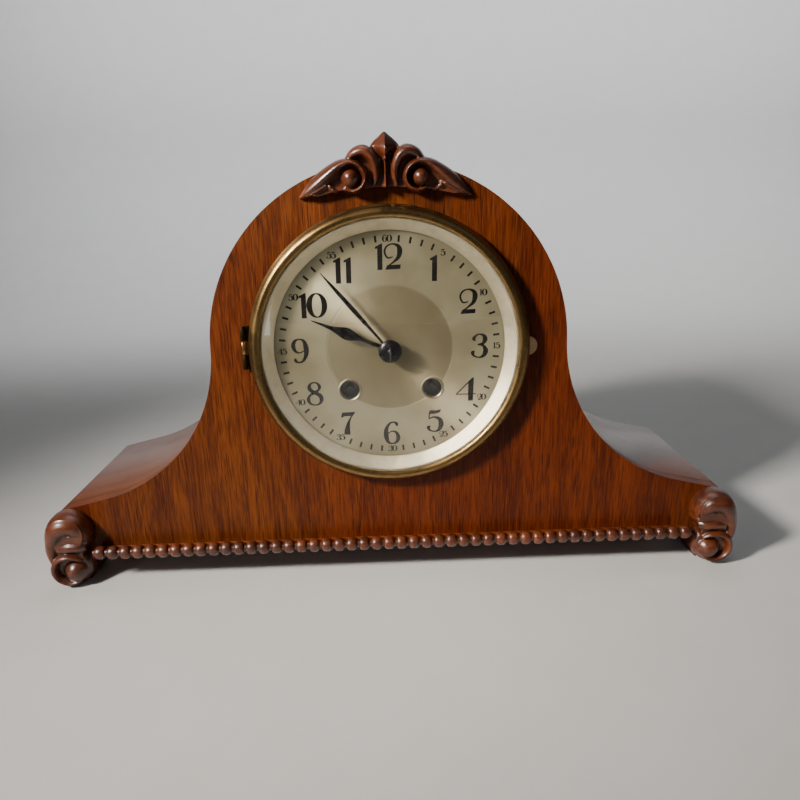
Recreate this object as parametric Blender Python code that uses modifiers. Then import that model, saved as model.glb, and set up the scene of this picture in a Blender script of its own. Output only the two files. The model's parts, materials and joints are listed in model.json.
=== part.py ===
"""A striking mantel clock in a tambour case: case, bezel, dial, hands and two-train movement.

Metres, +Z up, the clock faces -Y, and the origin is the middle of its footprint on the shelf.
Depths are measured backwards from the front board's face.
"""

import math

import bmesh
import bpy
from mathutils import Matrix, Vector

# Case
CASE_DEPTH = 0.116
DOOR_THICK = 0.005
DOOR_FURNITURE = 0.0035
GAP = 0.0003
DOME_CENTRE_Z = 0.150
DOME_RADIUS = 0.108
SHOULDER_CENTRE = (0.2093, 0.1552)
WING_END = 0.2155
WING_SLOPE = 0.24
PANEL_BOTTOM = 0.0205
PANEL_THICK = 0.009
SKIN_THICK = 0.006
BASE_THICK = 0.008
BACK_THICK = 0.008
FOOT_REACH = 0.2255
FOOT_TOP = 0.055
FOOT_PROUD = 0.015
REAR_FOOT = 0.022
BEAD_Z = 0.0222
BEAD_RADIUS = 0.0046
BEAD_RUN = 0.1952

# Bezel, dial and hands
APERTURE = 0.0745
DIAL_FACE = 0.0020
DIAL_BACK = 0.0030
DIAL_RADIUS = 0.0729
BEZEL_LIP = 0.0770
GLASS_RISE = 0.0120
GLASS_THICK = 0.0015
GLASS_SEAT = 0.0067
GLASS_RIM = 0.0766
GLASS_EDGE = 0.0803
BEZEL_OUTER = 0.0844
BEZEL_PROUD = 0.0090
BEZEL_BACK = 0.0022
RING_LIP = 0.0698
RING_DEPTH = -0.0014
PAN_OUTER = 0.0800
PAN_DEPTH = -0.0043
EYELET_OUTER = 0.0077
EYELET_INNER = 0.0058
EYELET_PROUD = -0.0014
WINDING = ((-0.0255, 0.1243), (0.0255, 0.1243))
MINUTE_LENGTH = 0.0585
HOUR_LENGTH = 0.0500
MINUTE_ANGLE = math.radians(39.7)
HOUR_ANGLE = math.radians(67.5)
HAND_THICK = 0.0008
HOUR_PLANE = -0.0030
MINUTE_PLANE = -0.0058
NUT_PROUD = 0.0097

# Movement
PLATE_THICK = 0.0015
FRONT_PLATE = 0.0130
BACK_PLATE = 0.0525
PLATE_HALF = 0.052
PLATE_LOW = 0.098
PLATE_HIGH = 0.206
PILLAR_INSET = 0.006
PILLAR_RADIUS = 0.003
CENTRE = (0.0, DOME_CENTRE_Z)
ARBOR = 0.0009
PIVOT_FRONT = 0.0133
PIVOT_BACK = 0.0537
PIVOT_HOLE = ARBOR + GAP
WINDING_ARBOR = 0.0026
WINDING_BORE = WINDING_ARBOR + GAP
BARREL_TEETH, SECOND_LEAVES = 60, 10
SECOND_TEETH, CENTRE_LEAVES = 60, 10
CENTRE_TEETH, THIRD_LEAVES = 72, 6
THIRD_TEETH, ESCAPE_LEAVES = 72, 6
ESCAPE_TEETH = 36
CANNON_TEETH, MINUTE_TEETH = 10, 30
MINUTE_LEAVES, HOUR_TEETH = 8, 32
PIN_TEETH, PIN_LEAVES = 48, 8
RATCHET_TEETH = 14
MOTION_MODULE = 0.00055
BARREL_MODULE = 0.00078
TRAIN_MODULE = 0.00050
BARREL_DRUM = 0.0215
ESCAPE_RADIUS = 0.0095
ANCHOR_DROP = 0.0132
PENDULUM_PLANE = 0.064
PENDULUM_LENGTH = 0.120

# Fittings
DOOR_HALF = 0.070
DOOR_CENTRE = 0.140
DOOR_BOTTOM = 0.046
DOOR_LAP = 0.006
DOOR_HINGE = (0.085, 0.130)
FOOT_LOWER = 0.0150
FOOT_LOWER_Z = 0.0143
FOOT_UPPER = 0.0135
BEAD_PROUD = 0.008
CREST_TOP = 0.272
CREST_HALF = 0.049
CREST_PROUD = 0.012
HINGE_PIN = 0.0006
KNUCKLE = 0.0015
LEAF = 0.0008
BEZEL_AXIS_X = -0.0872
BEZEL_AXIS_DEPTH = -0.0028
BEZEL_HINGE = (0.1406, 0.1668)
TAB_X = 0.0836
TAB_RADIUS = 0.0059
BOB_RADIUS = 0.0140
GONG_PLANE = 0.070
GONG_Z = 0.045
GONG_RADIUS = 0.0016

REAR = CASE_DEPTH + DOOR_THICK + DOOR_FURNITURE
FRONT_FACE = (GLASS_SEAT + GLASS_RISE - REAR) / 2

for old in list(bpy.data.objects):
    bpy.data.objects.remove(old)
PARTS = bpy.data.collections.new("mantel_clock")
bpy.context.scene.collection.children.link(PARTS)


def material(name, colour, roughness, metallic=0.0, alpha=1.0):
    """One Principled material."""
    made = bpy.data.materials.new(name)
    made.use_nodes = True
    shader = made.node_tree.nodes["Principled BSDF"]
    shader.inputs["Base Color"].default_value = (*colour, 1.0)
    shader.inputs["Roughness"].default_value = roughness
    shader.inputs["Metallic"].default_value = metallic
    shader.inputs["Alpha"].default_value = alpha
    return made


OAK = material("oak", (0.25, 0.10, 0.035), 0.45)
CARVED_OAK = material("carved_oak", (0.16, 0.045, 0.02), 0.35)
PLAIN_WOOD = material("plain_wood", (0.36, 0.24, 0.13), 0.7)
BRASS = material("brass", (0.62, 0.48, 0.22), 0.35, 1.0)
STEEL = material("steel", (0.45, 0.45, 0.46), 0.35, 1.0)
BLUED = material("blued_steel", (0.02, 0.02, 0.025), 0.3, 0.6)
SILVERED = material("silvered_dial", (0.62, 0.57, 0.46), 0.45, 0.7)
GLASS = material("glass", (0.9, 0.92, 0.9), 0.05, 0.0, 0.3)
IRON = material("cast_iron", (0.08, 0.08, 0.08), 0.6, 0.8)


def depth(distance):
    """The y of a plane this far behind the front board's face."""
    return FRONT_FACE + distance


def add(name, data, finish, place=(0.0, 0.0, 0.0), turn=(0.0, 0.0, 0.0)):
    """A named object among the parts."""
    made = bpy.data.objects.new(name, data)
    made.location = place
    made.rotation_euler = turn
    made.data.materials.append(finish)
    PARTS.objects.link(made)
    return made


def plate(name, outline, holes, front, back, finish, centre=(0.0, 0.0)):
    """A flat outline of (x, z) points about centre, cut through from one depth to another."""
    curve = bpy.data.curves.new(name, "CURVE")
    curve.dimensions = "2D"
    curve.fill_mode = "BOTH"
    curve.extrude = (back - front) / 2
    for points in [outline, *holes]:
        spline = curve.splines.new("POLY")
        spline.points.add(len(points) - 1)
        for point, (x, z) in zip(spline.points, points):
            point.co = (x, z, 0.0, 1.0)
        spline.use_cyclic_u = True
    place = (centre[0], depth((front + back) / 2), centre[1])
    return add(name, curve, finish, place, (math.pi / 2, 0.0, 0.0))


def as_mesh(obj):
    """The same object as a welded mesh, with its modifiers and curve settings worked in."""
    bpy.context.view_layer.update()
    graph = bpy.context.evaluated_depsgraph_get()
    mesh = bpy.data.meshes.new_from_object(obj.evaluated_get(graph))
    welded = bmesh.new()
    welded.from_mesh(mesh)
    bmesh.ops.remove_doubles(welded, verts=welded.verts, dist=1e-6)
    bmesh.ops.recalc_face_normals(welded, faces=welded.faces)
    welded.to_mesh(mesh)
    welded.free()
    name, place = obj.name, obj.matrix_world.copy()
    bpy.data.objects.remove(obj)
    made = bpy.data.objects.new(name, mesh)
    made.matrix_world = place
    PARTS.objects.link(made)
    return made


def combine(base, operation, others):
    """The base with the others joined to it or cut from it, as one mesh."""
    base = as_mesh(base)
    for other in others:
        other = as_mesh(other)
        modifier = base.modifiers.new(other.name, "BOOLEAN")
        modifier.operation = operation
        modifier.object = other
        base = as_mesh(base)
        bpy.data.objects.remove(other)
    return base


def join(base, *others):
    return combine(base, "UNION", others)


def cut(base, *others):
    return combine(base, "DIFFERENCE", others)


def circle(radius, sides, centre=(0.0, 0.0)):
    """The corners of a round outline."""
    turns = [2 * math.pi * i / sides for i in range(sides)]
    return [(centre[0] + radius * math.cos(t), centre[1] + radius * math.sin(t)) for t in turns]


def arc(centre, radius, start, end, steps):
    """Points along an arc, with both ends. Angles in radians from +X."""
    angles = [start + (end - start) * i / steps for i in range(steps + 1)]
    return [(centre[0] + radius * math.cos(a), centre[1] + radius * math.sin(a)) for a in angles]


def mirrored(points):
    """A right-hand run of points from the top down, led up to by its mirror image on the left."""
    return [(-x, z) for x, z in reversed(points) if abs(x) > 1e-9] + points


def rotated(points, angle):
    """Points turned anticlockwise as seen from the front."""
    c, s = math.cos(angle), math.sin(angle)
    return [(x * c - z * s, x * s + z * c) for x, z in points]


def turned(name, profile, finish, centre=CENTRE, front=0.0, steps=48, ring=False):
    """A piece turned about a line that runs front to back. Profile: (radius, height proud of front)."""
    mesh = bpy.data.meshes.new(name)
    points = [(r, 0.0, h) for r, h in profile]
    count = len(points)
    edges = [(i, (i + 1) % count) for i in range(count if ring else count - 1)]
    mesh.from_pydata(points, edges, [])
    made = add(name, mesh, finish, (centre[0], depth(front), centre[1]), (math.pi / 2, 0.0, 0.0))
    screw = made.modifiers.new("Screw", "SCREW")
    screw.steps = screw.render_steps = steps
    screw.use_merge_vertices = True
    screw.merge_threshold = 1e-6
    return made


def rod(name, start, end, radius, finish, sides=12):
    """A round bar between two points."""
    a, b = Vector(start), Vector(end)
    mesh = bpy.data.meshes.new(name)
    shape = bmesh.new()
    bmesh.ops.create_cone(
        shape,
        cap_ends=True,
        segments=sides,
        radius1=radius,
        radius2=radius,
        depth=(b - a).length,
    )
    bmesh.ops.translate(shape, verts=shape.verts, vec=(0.0, 0.0, (b - a).length / 2))
    shape.to_mesh(mesh)
    shape.free()
    made = add(name, mesh, finish)
    turn = (b - a).to_track_quat("Z", "Y").to_matrix().to_4x4()
    made.matrix_world = Matrix.Translation(a) @ turn
    return made


def arbor(name, centre, front, back, radius, finish=STEEL, sides=12):
    """A round bar that runs front to back."""
    start = (centre[0], depth(front), centre[1])
    end = (centre[0], depth(back), centre[1])
    return rod(name, start, end, radius, finish, sides)


def block(name, low, high, finish):
    """A box between two corners, given as (x, depth, z)."""
    mesh = bpy.data.meshes.new(name)
    shape = bmesh.new()
    bmesh.ops.create_cube(shape, size=1.0)
    size = [h - l for l, h in zip(low, high)]
    bmesh.ops.scale(shape, verts=shape.verts, vec=size)
    shape.to_mesh(mesh)
    shape.free()
    middle = [(l + h) / 2 for l, h in zip(low, high)]
    return add(name, mesh, finish, (middle[0], depth(middle[1]), middle[2]))


def gear(teeth, module, phase=0.0):
    """A toothed outline with backlash. The first tooth points along the phase angle."""
    pitch = module * teeth / 2
    root, tip = pitch - 1.15 * module, pitch + 0.65 * module
    step = 2 * math.pi / teeth
    corners = ((-0.26, root), (-0.10, tip), (0.10, tip), (0.26, root))
    points = []
    for tooth in range(teeth):
        for share, radius in corners:
            angle = phase + (tooth + share) * step
            points.append((radius * math.cos(angle), radius * math.sin(angle)))
    return points


def saw(teeth, root, tip):
    """A ratchet outline, each tooth with one steep side."""
    points = []
    for tooth in range(teeth):
        angle = 2 * math.pi * tooth / teeth
        points.append((tip * math.cos(angle), tip * math.sin(angle)))
        points.append((root * math.cos(angle + 0.03), root * math.sin(angle + 0.03)))
    return points


def meshing(teeth, centre, own_teeth, own_centre, phase=0.0):
    """The phase of a gear at own_centre whose gaps meet the teeth of the gear at centre."""
    towards = math.atan2(own_centre[1] - centre[1], own_centre[0] - centre[0])
    share = teeth * (towards - phase) / (2 * math.pi)
    return towards + math.pi - 2 * math.pi * (0.5 - share) / own_teeth


def reach(centre, distance, angle):
    """A point at this distance and angle, in degrees, from another."""
    turn = math.radians(angle)
    return (centre[0] + distance * math.cos(turn), centre[1] + distance * math.sin(turn))


# Case ----------------------------------------------------------------------------------------

def tambour(inset, bottom, dome_steps=14, shoulder_steps=9):
    """The case's front outline, drawn in by inset: dome, concave shoulders, sloping wings."""
    across, up = SHOULDER_CENTRE[0], SHOULDER_CENTRE[1] - DOME_CENTRE_Z
    tangent = math.atan2(up, across)
    shoulder = math.hypot(across, up) - DOME_RADIUS
    foot = math.pi + math.atan2(1.0, WING_SLOPE)
    right = arc(CENTRE, DOME_RADIUS - inset, math.pi / 2, tangent, dome_steps)
    right += arc(SHOULDER_CENTRE, shoulder + inset, math.pi + tangent, foot, shoulder_steps)
    x, z = right[-1]
    end = WING_END - inset
    right += [(end, z - WING_SLOPE * (end - x)), (end, bottom)]
    return mirrored(right)


def arch(half, centre_z, bottom, steps=10):
    """An outline with a half-round top."""
    return mirrored(arc((0.0, centre_z), half, math.pi / 2, 0.0, steps) + [(half, bottom)])


def case_front():
    hole = circle(APERTURE, 48, CENTRE)
    plate("front_panel", tambour(0.0, PANEL_BOTTOM), [hole], 0.0, PANEL_THICK, OAK)


def case_shell():
    """The bent top and ends, open below and behind."""
    outline = tambour(0.0, PANEL_BOTTOM) + tambour(SKIN_THICK, PANEL_BOTTOM)[::-1]
    plate("case_skin", outline, [], PANEL_THICK + GAP, CASE_DEPTH, OAK)


def case_boards():
    """The bottom, and the back with the opening that the door covers."""
    inner = WING_END - SKIN_THICK - GAP
    top = PANEL_BOTTOM + BASE_THICK
    low = (-inner, PANEL_THICK + GAP, PANEL_BOTTOM)
    block("base_board", low, (inner, CASE_DEPTH, top), PLAIN_WOOD)
    opening = arch(DOOR_HALF - DOOR_LAP, DOOR_CENTRE, DOOR_BOTTOM + DOOR_LAP)
    outline = tambour(SKIN_THICK + GAP, top + GAP)
    front = CASE_DEPTH - BACK_THICK
    plate("back_board", outline, [opening], front, CASE_DEPTH, PLAIN_WOOD)


def hinge_leaf(name, low, high, axis, root, spans):
    """A leaf with knuckles about an upright axis. Root: the x and depth that the knuckles spring from."""
    slip = 0.0001
    leaf = block(name, (*low[:2], low[2] + 2 * slip), (*high[:2], high[2] - 2 * slip), BRASS)
    added = []
    for bottom, top in spans:
        near = (min(axis[0] + slip, root[0]), min(axis[1] + slip, root[1]), bottom + slip)
        far = (max(axis[0] + slip, root[0]), max(axis[1] + slip, root[1]), top - slip)
        added.append(block("tongue", near, far, BRASS))
        start, end = ((axis[0], depth(axis[1]), z) for z in (bottom, top))
        added.append(rod("knuckle", start, end, KNUCKLE, BRASS))
    leaf = join(leaf, *added)
    start, end = ((axis[0], depth(axis[1]), z) for z in (low[2] - KNUCKLE, high[2] + KNUCKLE))
    return cut(leaf, rod("pin_hole", start, end, HINGE_PIN + GAP, BRASS))


def hinge_pin(name, axis, low, high):
    rod(name, (axis[0], depth(axis[1]), low), (axis[0], depth(axis[1]), high), HINGE_PIN, STEEL)


def three_spans(low, high):
    """The middle third of a hinge, and the two outer thirds."""
    third = (high - low) / 3
    a, b = low + third, high - third
    return [(a + GAP, b - GAP)], [(low, a), (b, high)]


def back_door():
    """The door laps over the back board's opening, hangs on a butt hinge and shuts with a button."""
    front = CASE_DEPTH + GAP
    back = front + DOOR_THICK
    plate("back_door", arch(DOOR_HALF, DOOR_CENTRE, DOOR_BOTTOM), [], front, back, PLAIN_WOOD)
    axis = (DOOR_HALF + 0.005, back + 0.0016)
    low, high = DOOR_HINGE
    moving, fixed = three_spans(low, high)
    face = back + GAP
    hinge_leaf(
        "door_hinge_door_leaf",
        (DOOR_HALF - 0.012, face, low),
        (DOOR_HALF + 0.003, face + LEAF, high),
        axis,
        (DOOR_HALF + 0.002, face + 0.0002),
        moving,
    )
    hinge_leaf(
        "door_hinge_frame_leaf",
        (axis[0] - 0.001, front, low),
        (axis[0] + 0.015, front + LEAF, high),
        axis,
        (axis[0] - 0.0008, front + 0.0002),
        fixed,
    )
    hinge_pin("door_hinge_pin", axis, low - GAP, high + GAP)
    place = (-DOOR_HALF - 0.007, DOOR_CENTRE)
    stem = arbor("door_button", place, front, back + 0.001, 0.002, BRASS)
    low = (place[0] - 0.0035, back + GAP, place[1] - 0.011)
    high = (place[0] + 0.0035, back + GAP + 0.0029, place[1] + 0.011)
    join(stem, block("button_bar", low, high, BRASS))


def scroll_foot(name, side):
    """A carved bracket in front of the corner, two lobes high, with a block under the case."""
    flat = math.acos(FOOT_LOWER_Z / FOOT_LOWER)
    lower = arc((0.0, 0.0), FOOT_LOWER, flat - math.pi / 2, 1.5 * math.pi - flat, 22)
    slip = 0.0002
    outer = FOOT_REACH - FOOT_LOWER
    foot = plate(name, lower, [], -FOOT_PROUD, -GAP, CARVED_OAK, (side * outer, FOOT_LOWER_Z))
    upper_x = outer - 0.002
    upper_z = FOOT_TOP - FOOT_UPPER
    upper = plate(
        "upper_lobe",
        circle(FOOT_UPPER, 24),
        [],
        0.001 - FOOT_PROUD,
        -GAP - slip,
        CARVED_OAK,
        (side * upper_x, upper_z),
    )
    edges = sorted((side * (upper_x - 0.009), side * (upper_x + 0.011)))
    neck = block(
        "neck",
        (edges[0], -0.012, FOOT_LOWER_Z),
        (edges[1], -GAP - 2 * slip, upper_z),
        CARVED_OAK,
    )
    edges = sorted((side * 0.1965, side * 0.2150))
    under = block(
        "under",
        (edges[0], -0.002, slip),
        (edges[1], 0.024, PANEL_BOTTOM - GAP),
        CARVED_OAK,
    )
    join(foot, upper, neck, under)


def rear_foot(name, side):
    edges = sorted((side * (WING_END - REAR_FOOT), side * WING_END))
    low = (edges[0], CASE_DEPTH - REAR_FOOT, 0.0)
    high = (edges[1], CASE_DEPTH, PANEL_BOTTOM - GAP)
    block(name, low, high, PLAIN_WOOD)


def mouldings():
    """The bead strip along the foot of the front, and the crest over the dial."""
    start, end = ((x, depth(-BEAD_PROUD), BEAD_Z) for x in (-BEAD_RUN, BEAD_RUN))
    strip = rod("bead_moulding", start, end, BEAD_RADIUS, CARVED_OAK, 16)
    half = 0.0032
    low = (-BEAD_RUN + 0.001, 0.0001 - BEAD_PROUD, BEAD_Z - half)
    backing = block("backing", low, (BEAD_RUN - 0.001, -GAP, BEAD_Z + half), CARVED_OAK)
    join(strip, backing)
    right = [(0.0, CREST_TOP), (0.0105, 0.2665), (0.0175, 0.2635), (0.026, 0.2585)]
    right += [(CREST_HALF, 0.2385), (0.040, 0.2365), (0.026, 0.2405), (0.0, 0.2425)]
    plate("crest_carving", mirrored(right), [], -CREST_PROUD, -GAP, CARVED_OAK)


# Bezel and dial ------------------------------------------------------------------------------

def dome(radius, base, rise, steps=5):
    """A spherical cap's profile, from the axis out to its rim."""
    sphere = (radius**2 + rise**2) / (2 * rise)
    radii = [radius * i / steps for i in range(steps + 1)]
    return [(r, base + rise - sphere + math.sqrt(sphere**2 - r**2)) for r in radii]


def bezel_and_glass():
    """The turned bezel, the domed glass in its groove and the bright ring behind the glass."""
    section = [
        (0.0800, BEZEL_PROUD),
        (0.0828, 0.0076),
        (BEZEL_OUTER, 0.0040),
        (BEZEL_OUTER, BEZEL_BACK),
        (GLASS_EDGE + GAP, BEZEL_BACK),
        (GLASS_EDGE + GAP, GLASS_SEAT + GAP),
        (BEZEL_LIP, GLASS_SEAT + GAP),
        (BEZEL_LIP, 0.0076),
        (0.0776, 0.0086),
    ]
    turned("bezel", section, BRASS, ring=True)
    outer = dome(GLASS_RIM, GLASS_SEAT, GLASS_RISE)
    inner = dome(GLASS_RIM - 0.0002, GLASS_SEAT - GLASS_THICK, GLASS_RISE)
    rim = [(GLASS_EDGE, GLASS_SEAT), (GLASS_EDGE, GLASS_SEAT - GLASS_THICK)]
    turned("glass", outer + rim + inner[::-1], GLASS, steps=36)
    back = GLASS_SEAT - GLASS_THICK - GAP
    ring = [
        (GLASS_EDGE, back),
        (GLASS_EDGE, back - 0.0008),
        (0.0772, back - 0.0008),
        (RING_LIP + 0.0008, RING_DEPTH),
        (RING_LIP, RING_DEPTH),
        (RING_LIP, RING_DEPTH + 0.0005),
        (GLASS_RIM, back),
    ]
    turned("sight_ring", ring, BRASS, steps=40, ring=True)


def finger_tab():
    """The half-round tab that opens the bezel."""
    outline = [(x, z) for x, z in circle(TAB_RADIUS, 24) if x > -1e-9]
    outline = sorted(outline, key=lambda point: point[1])
    tab = plate("finger_tab", outline, [], -0.0019, -0.0011, BRASS, (TAB_X, DOME_CENTRE_Z))
    stem = block("stem", (0.0815, -0.0019, 0.146), (TAB_X + 0.001, -0.0011, 0.154), BRASS)
    join(tab, stem)


def bezel_hinge():
    low, high = BEZEL_HINGE
    moving, fixed = three_spans(low, high)
    axis = (BEZEL_AXIS_X, BEZEL_AXIS_DEPTH)
    hinge_leaf(
        "bezel_hinge_plate",
        (axis[0] + 0.0015, -0.0010, low),
        (-0.0805, -GAP, high),
        axis,
        (axis[0] + 0.0020, -GAP - 0.0002),
        fixed,
    )
    (bottom, top), = moving
    hinge_leaf(
        "bezel_hinge_leaf",
        (axis[0] + 0.0005, -0.0019, bottom + 0.0001),
        (-0.0795, -0.0013, top - 0.0001),
        axis,
        (axis[0] + 0.0010, -0.0014),
        moving,
    )
    hinge_pin("bezel_hinge_pin", axis, low - GAP, high + GAP)


def dial():
    """The pan in the front board's opening, the dial plate in the pan, and two eyelets."""
    pan = [
        (PAN_OUTER, 0.0013),
        (PAN_OUTER, GAP),
        (APERTURE - GAP, GAP),
        (APERTURE - GAP, PAN_DEPTH),
        (0.0620, PAN_DEPTH),
        (0.0620, PAN_DEPTH + 0.0009),
        (0.0733, PAN_DEPTH + 0.0009),
        (0.0733, 0.0002),
        (0.0750, 0.0013),
    ]
    turned("dial_pan", pan, BRASS, steps=40, ring=True)
    holes = [circle(0.0069, 20, (x, z - DOME_CENTRE_Z)) for x, z in WINDING]
    holes.append(circle(0.0036, 16))
    outline = circle(DIAL_RADIUS, 56)
    plate("dial_plate", outline, holes, DIAL_FACE, DIAL_BACK, SILVERED, CENTRE)
    for side, place in zip(("left", "right"), WINDING):
        eyelet = [
            (EYELET_OUTER, EYELET_PROUD),
            (EYELET_OUTER, EYELET_PROUD - 0.0003),
            (0.0066, EYELET_PROUD - 0.0003),
            (0.0066, -0.0033),
            (EYELET_INNER, -0.0033),
            (EYELET_INNER, EYELET_PROUD),
        ]
        turned("eyelet_" + side, eyelet, BRASS, place, steps=20, ring=True)


def hand(name, length, width, hub, hole, front, angle):
    """A leaf hand that points up from its hub, then turned to the time it shows."""
    stem = width * 0.16
    blade = [(stem, hub), (stem, length * 0.42), (width * 0.42, length * 0.55)]
    blade += [(width * 0.5, length * 0.64), (width * 0.3, length * 0.76), (0.0, length)]
    start = math.asin(stem / hub)
    around = arc((0.0, 0.0), hub, math.pi / 2 - start, -math.pi / 2, 9)
    right = blade[::-1] + around
    outline = rotated(mirrored(right), angle)
    return plate(name, outline, [circle(hole, 16)], front, front + HAND_THICK, BLUED, CENTRE)


def hands():
    """Both hands, and the domed nut that turns with the minute hand."""
    hand("hour_hand", HOUR_LENGTH, 0.0075, 0.0062, 0.0032, HOUR_PLANE, HOUR_ANGLE)
    hand("minute_hand", MINUTE_LENGTH, 0.0036, 0.0050, 0.0022, MINUTE_PLANE, MINUTE_ANGLE)
    back = GAP - MINUTE_PLANE
    cap = [(0.0, NUT_PROUD), (0.0016, NUT_PROUD - 0.0002), (0.0022, NUT_PROUD - 0.0010)]
    cap += [(0.0052, NUT_PROUD - 0.0015), (0.0070, NUT_PROUD - 0.0027), (0.0070, back), (0.0, back)]
    turned("hand_nut", cap, BLUED, steps=24)


# Movement ------------------------------------------------------------------------------------

def place_train():
    """Where each arbor stands, as (x, z), and the module that fits the second wheel."""
    left, right = WINDING
    spots = {"strike": left, "time": right, "centre": CENTRE}
    spots["second"] = reach(right, BARREL_MODULE * (BARREL_TEETH + SECOND_LEAVES) / 2, 95)
    train = TRAIN_MODULE * (CENTRE_TEETH + THIRD_LEAVES) / 2
    spots["third"] = reach(CENTRE, train, 120)
    spots["escape"] = reach(spots["third"], train, 60)
    x, z = spots["escape"]
    spots["anchor"] = (x, z + ANCHOR_DROP)
    spots["pin"] = reach(left, BARREL_MODULE * (BARREL_TEETH + PIN_LEAVES) / 2, 95)
    motion = MOTION_MODULE * (CANNON_TEETH + MINUTE_TEETH) / 2
    spots["minute"] = reach(CENTRE, motion, 90)
    spots["hammer"] = (0.0400, 0.1035)
    x, z = spots["second"]
    module = math.hypot(x - CENTRE[0], z - CENTRE[1]) * 2 / (SECOND_TEETH + CENTRE_LEAVES)
    return spots, module


SPOTS, SECOND_MODULE = place_train()


def plates():
    """Two plates, four pillars between them and the brackets that hold them to the front board."""
    holes = {
        "front_plate": ("centre", "second", "third", "escape", "anchor", "pin", "minute", "hammer"),
        "back_plate": ("centre", "second", "third", "escape", "anchor", "pin", "hammer"),
    }
    middle = (PLATE_LOW + PLATE_HIGH) / 2
    rise = PLATE_HIGH - middle
    outline = [(-PLATE_HALF, -rise), (PLATE_HALF, -rise), (PLATE_HALF, rise), (-PLATE_HALF, rise)]
    for name, front in (("front_plate", FRONT_PLATE), ("back_plate", BACK_PLATE)):
        bores = [circle(WINDING_BORE, 12, (x, z - middle)) for x, z in WINDING]
        for spot in holes[name]:
            x, z = SPOTS[spot]
            bores.append(circle(PIVOT_HOLE, 8, (x, z - middle)))
        plate(name, outline, bores, front, front + PLATE_THICK, BRASS, (0.0, middle))
    across = PLATE_HALF - PILLAR_INSET
    corners = [(x, z) for x in (-across, across) for z in (PLATE_LOW, PLATE_HIGH)]
    for number, (x, z) in enumerate(corners, 1):
        z += PILLAR_INSET if z == PLATE_LOW else -PILLAR_INSET
        start = FRONT_PLATE + PLATE_THICK + GAP
        arbor(f"pillar_{number}", (x, z), start, BACK_PLATE - GAP, PILLAR_RADIUS, BRASS)
    for side, name in ((-1, "movement_bracket_left"), (1, "movement_bracket_right")):
        edges = sorted((side * 0.044, side * 0.092))
        strap = block(name, (edges[0], 0.0112, 0.143), (edges[1], 0.0127, 0.157), STEEL)
        edges = sorted((side * 0.077, side * 0.0915))
        pad = block("pad", (edges[0], 0.0093, 0.1435), (edges[1], 0.0120, 0.1565), STEEL)
        join(strap, pad)


def wheel(name, spot, toothed, bar, finish=BRASS, bore=None):
    """Toothed layers on one arbor. Layer: (outline, front, back); bar: (radius, front, back)."""
    centre = SPOTS[spot]
    outline, front, back = toothed[0]
    body = plate(name, outline, [], front, back, finish, centre)
    added = [plate("layer", line, [], f, b, finish, centre) for line, f, b in toothed[1:]]
    radius, front, back = bar
    added.append(arbor("bar", centre, front, back, radius, finish, 16))
    body = join(body, *added)
    if bore:
        body = cut(body, arbor("bore", centre, front - 0.001, back + 0.001, bore, finish))
    return body


def motion_work():
    """Cannon pinion, minute wheel and hour wheel, between the front plate and the dial."""
    cannon = gear(CANNON_TEETH, MOTION_MODULE)
    pipe = (0.0019, MINUTE_PLANE + 0.0001, 0.0124)
    wheel("cannon_pinion", "centre", [(cannon, 0.0093, 0.0111)], pipe, bore=0.0013)
    spot = SPOTS["minute"]
    phase = meshing(CANNON_TEETH, CENTRE, MINUTE_TEETH, spot)
    hour_phase = meshing(MINUTE_LEAVES, spot, HOUR_TEETH, CENTRE)
    layers = [
        (gear(MINUTE_TEETH, MOTION_MODULE, phase), 0.0096, 0.0108),
        (gear(MINUTE_LEAVES, MOTION_MODULE), 0.0056, 0.0100),
    ]
    wheel("minute_wheel", "minute", layers, (ARBOR, 0.0050, 0.0142))
    hour = gear(HOUR_TEETH, MOTION_MODULE, hour_phase)
    pipe = (0.0029, HOUR_PLANE + 0.0001, 0.0080)
    wheel("hour_wheel", "centre", [(hour, 0.0062, 0.0074)], pipe, bore=0.0022)


def winding(name, spot):
    """A winding arbor with a square end and its ratchet in front of the plate."""
    ratchet = (saw(RATCHET_TEETH, 0.0062, 0.0074), 0.0096, 0.0112)
    shaft = (WINDING_ARBOR, 0.0080, 0.0538)
    body = wheel(name + "_winding_arbor", spot, [ratchet], shaft, STEEL)
    return join(body, arbor("square", SPOTS[spot], 0.0056, 0.0090, 0.0024, STEEL, 4))


def click(name, spot):
    """The pawl beside a ratchet, pivoted on the front plate."""
    x, z = SPOTS[spot]
    outline = circle(0.0020, 12)[3:10] + [(-0.0005, -0.0022), (0.0040, -0.0050), (0.0046, -0.0044)]
    plate(name + "_click", outline, [], 0.0098, 0.0110, STEEL, (x - 0.0125, z + 0.0058))


def barrel(name, spot, phase=0.0):
    """A spring barrel with its toothed edge at the back."""
    teeth = gear(BARREL_TEETH, BARREL_MODULE, phase)
    drum = circle(BARREL_DRUM, 28)
    layers = [(teeth, 0.0440, 0.0465), (drum, 0.0235, 0.0450)]
    wheel(name + "_barrel", spot, layers, (0.0050, 0.0228, 0.0472), bore=WINDING_BORE)


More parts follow.
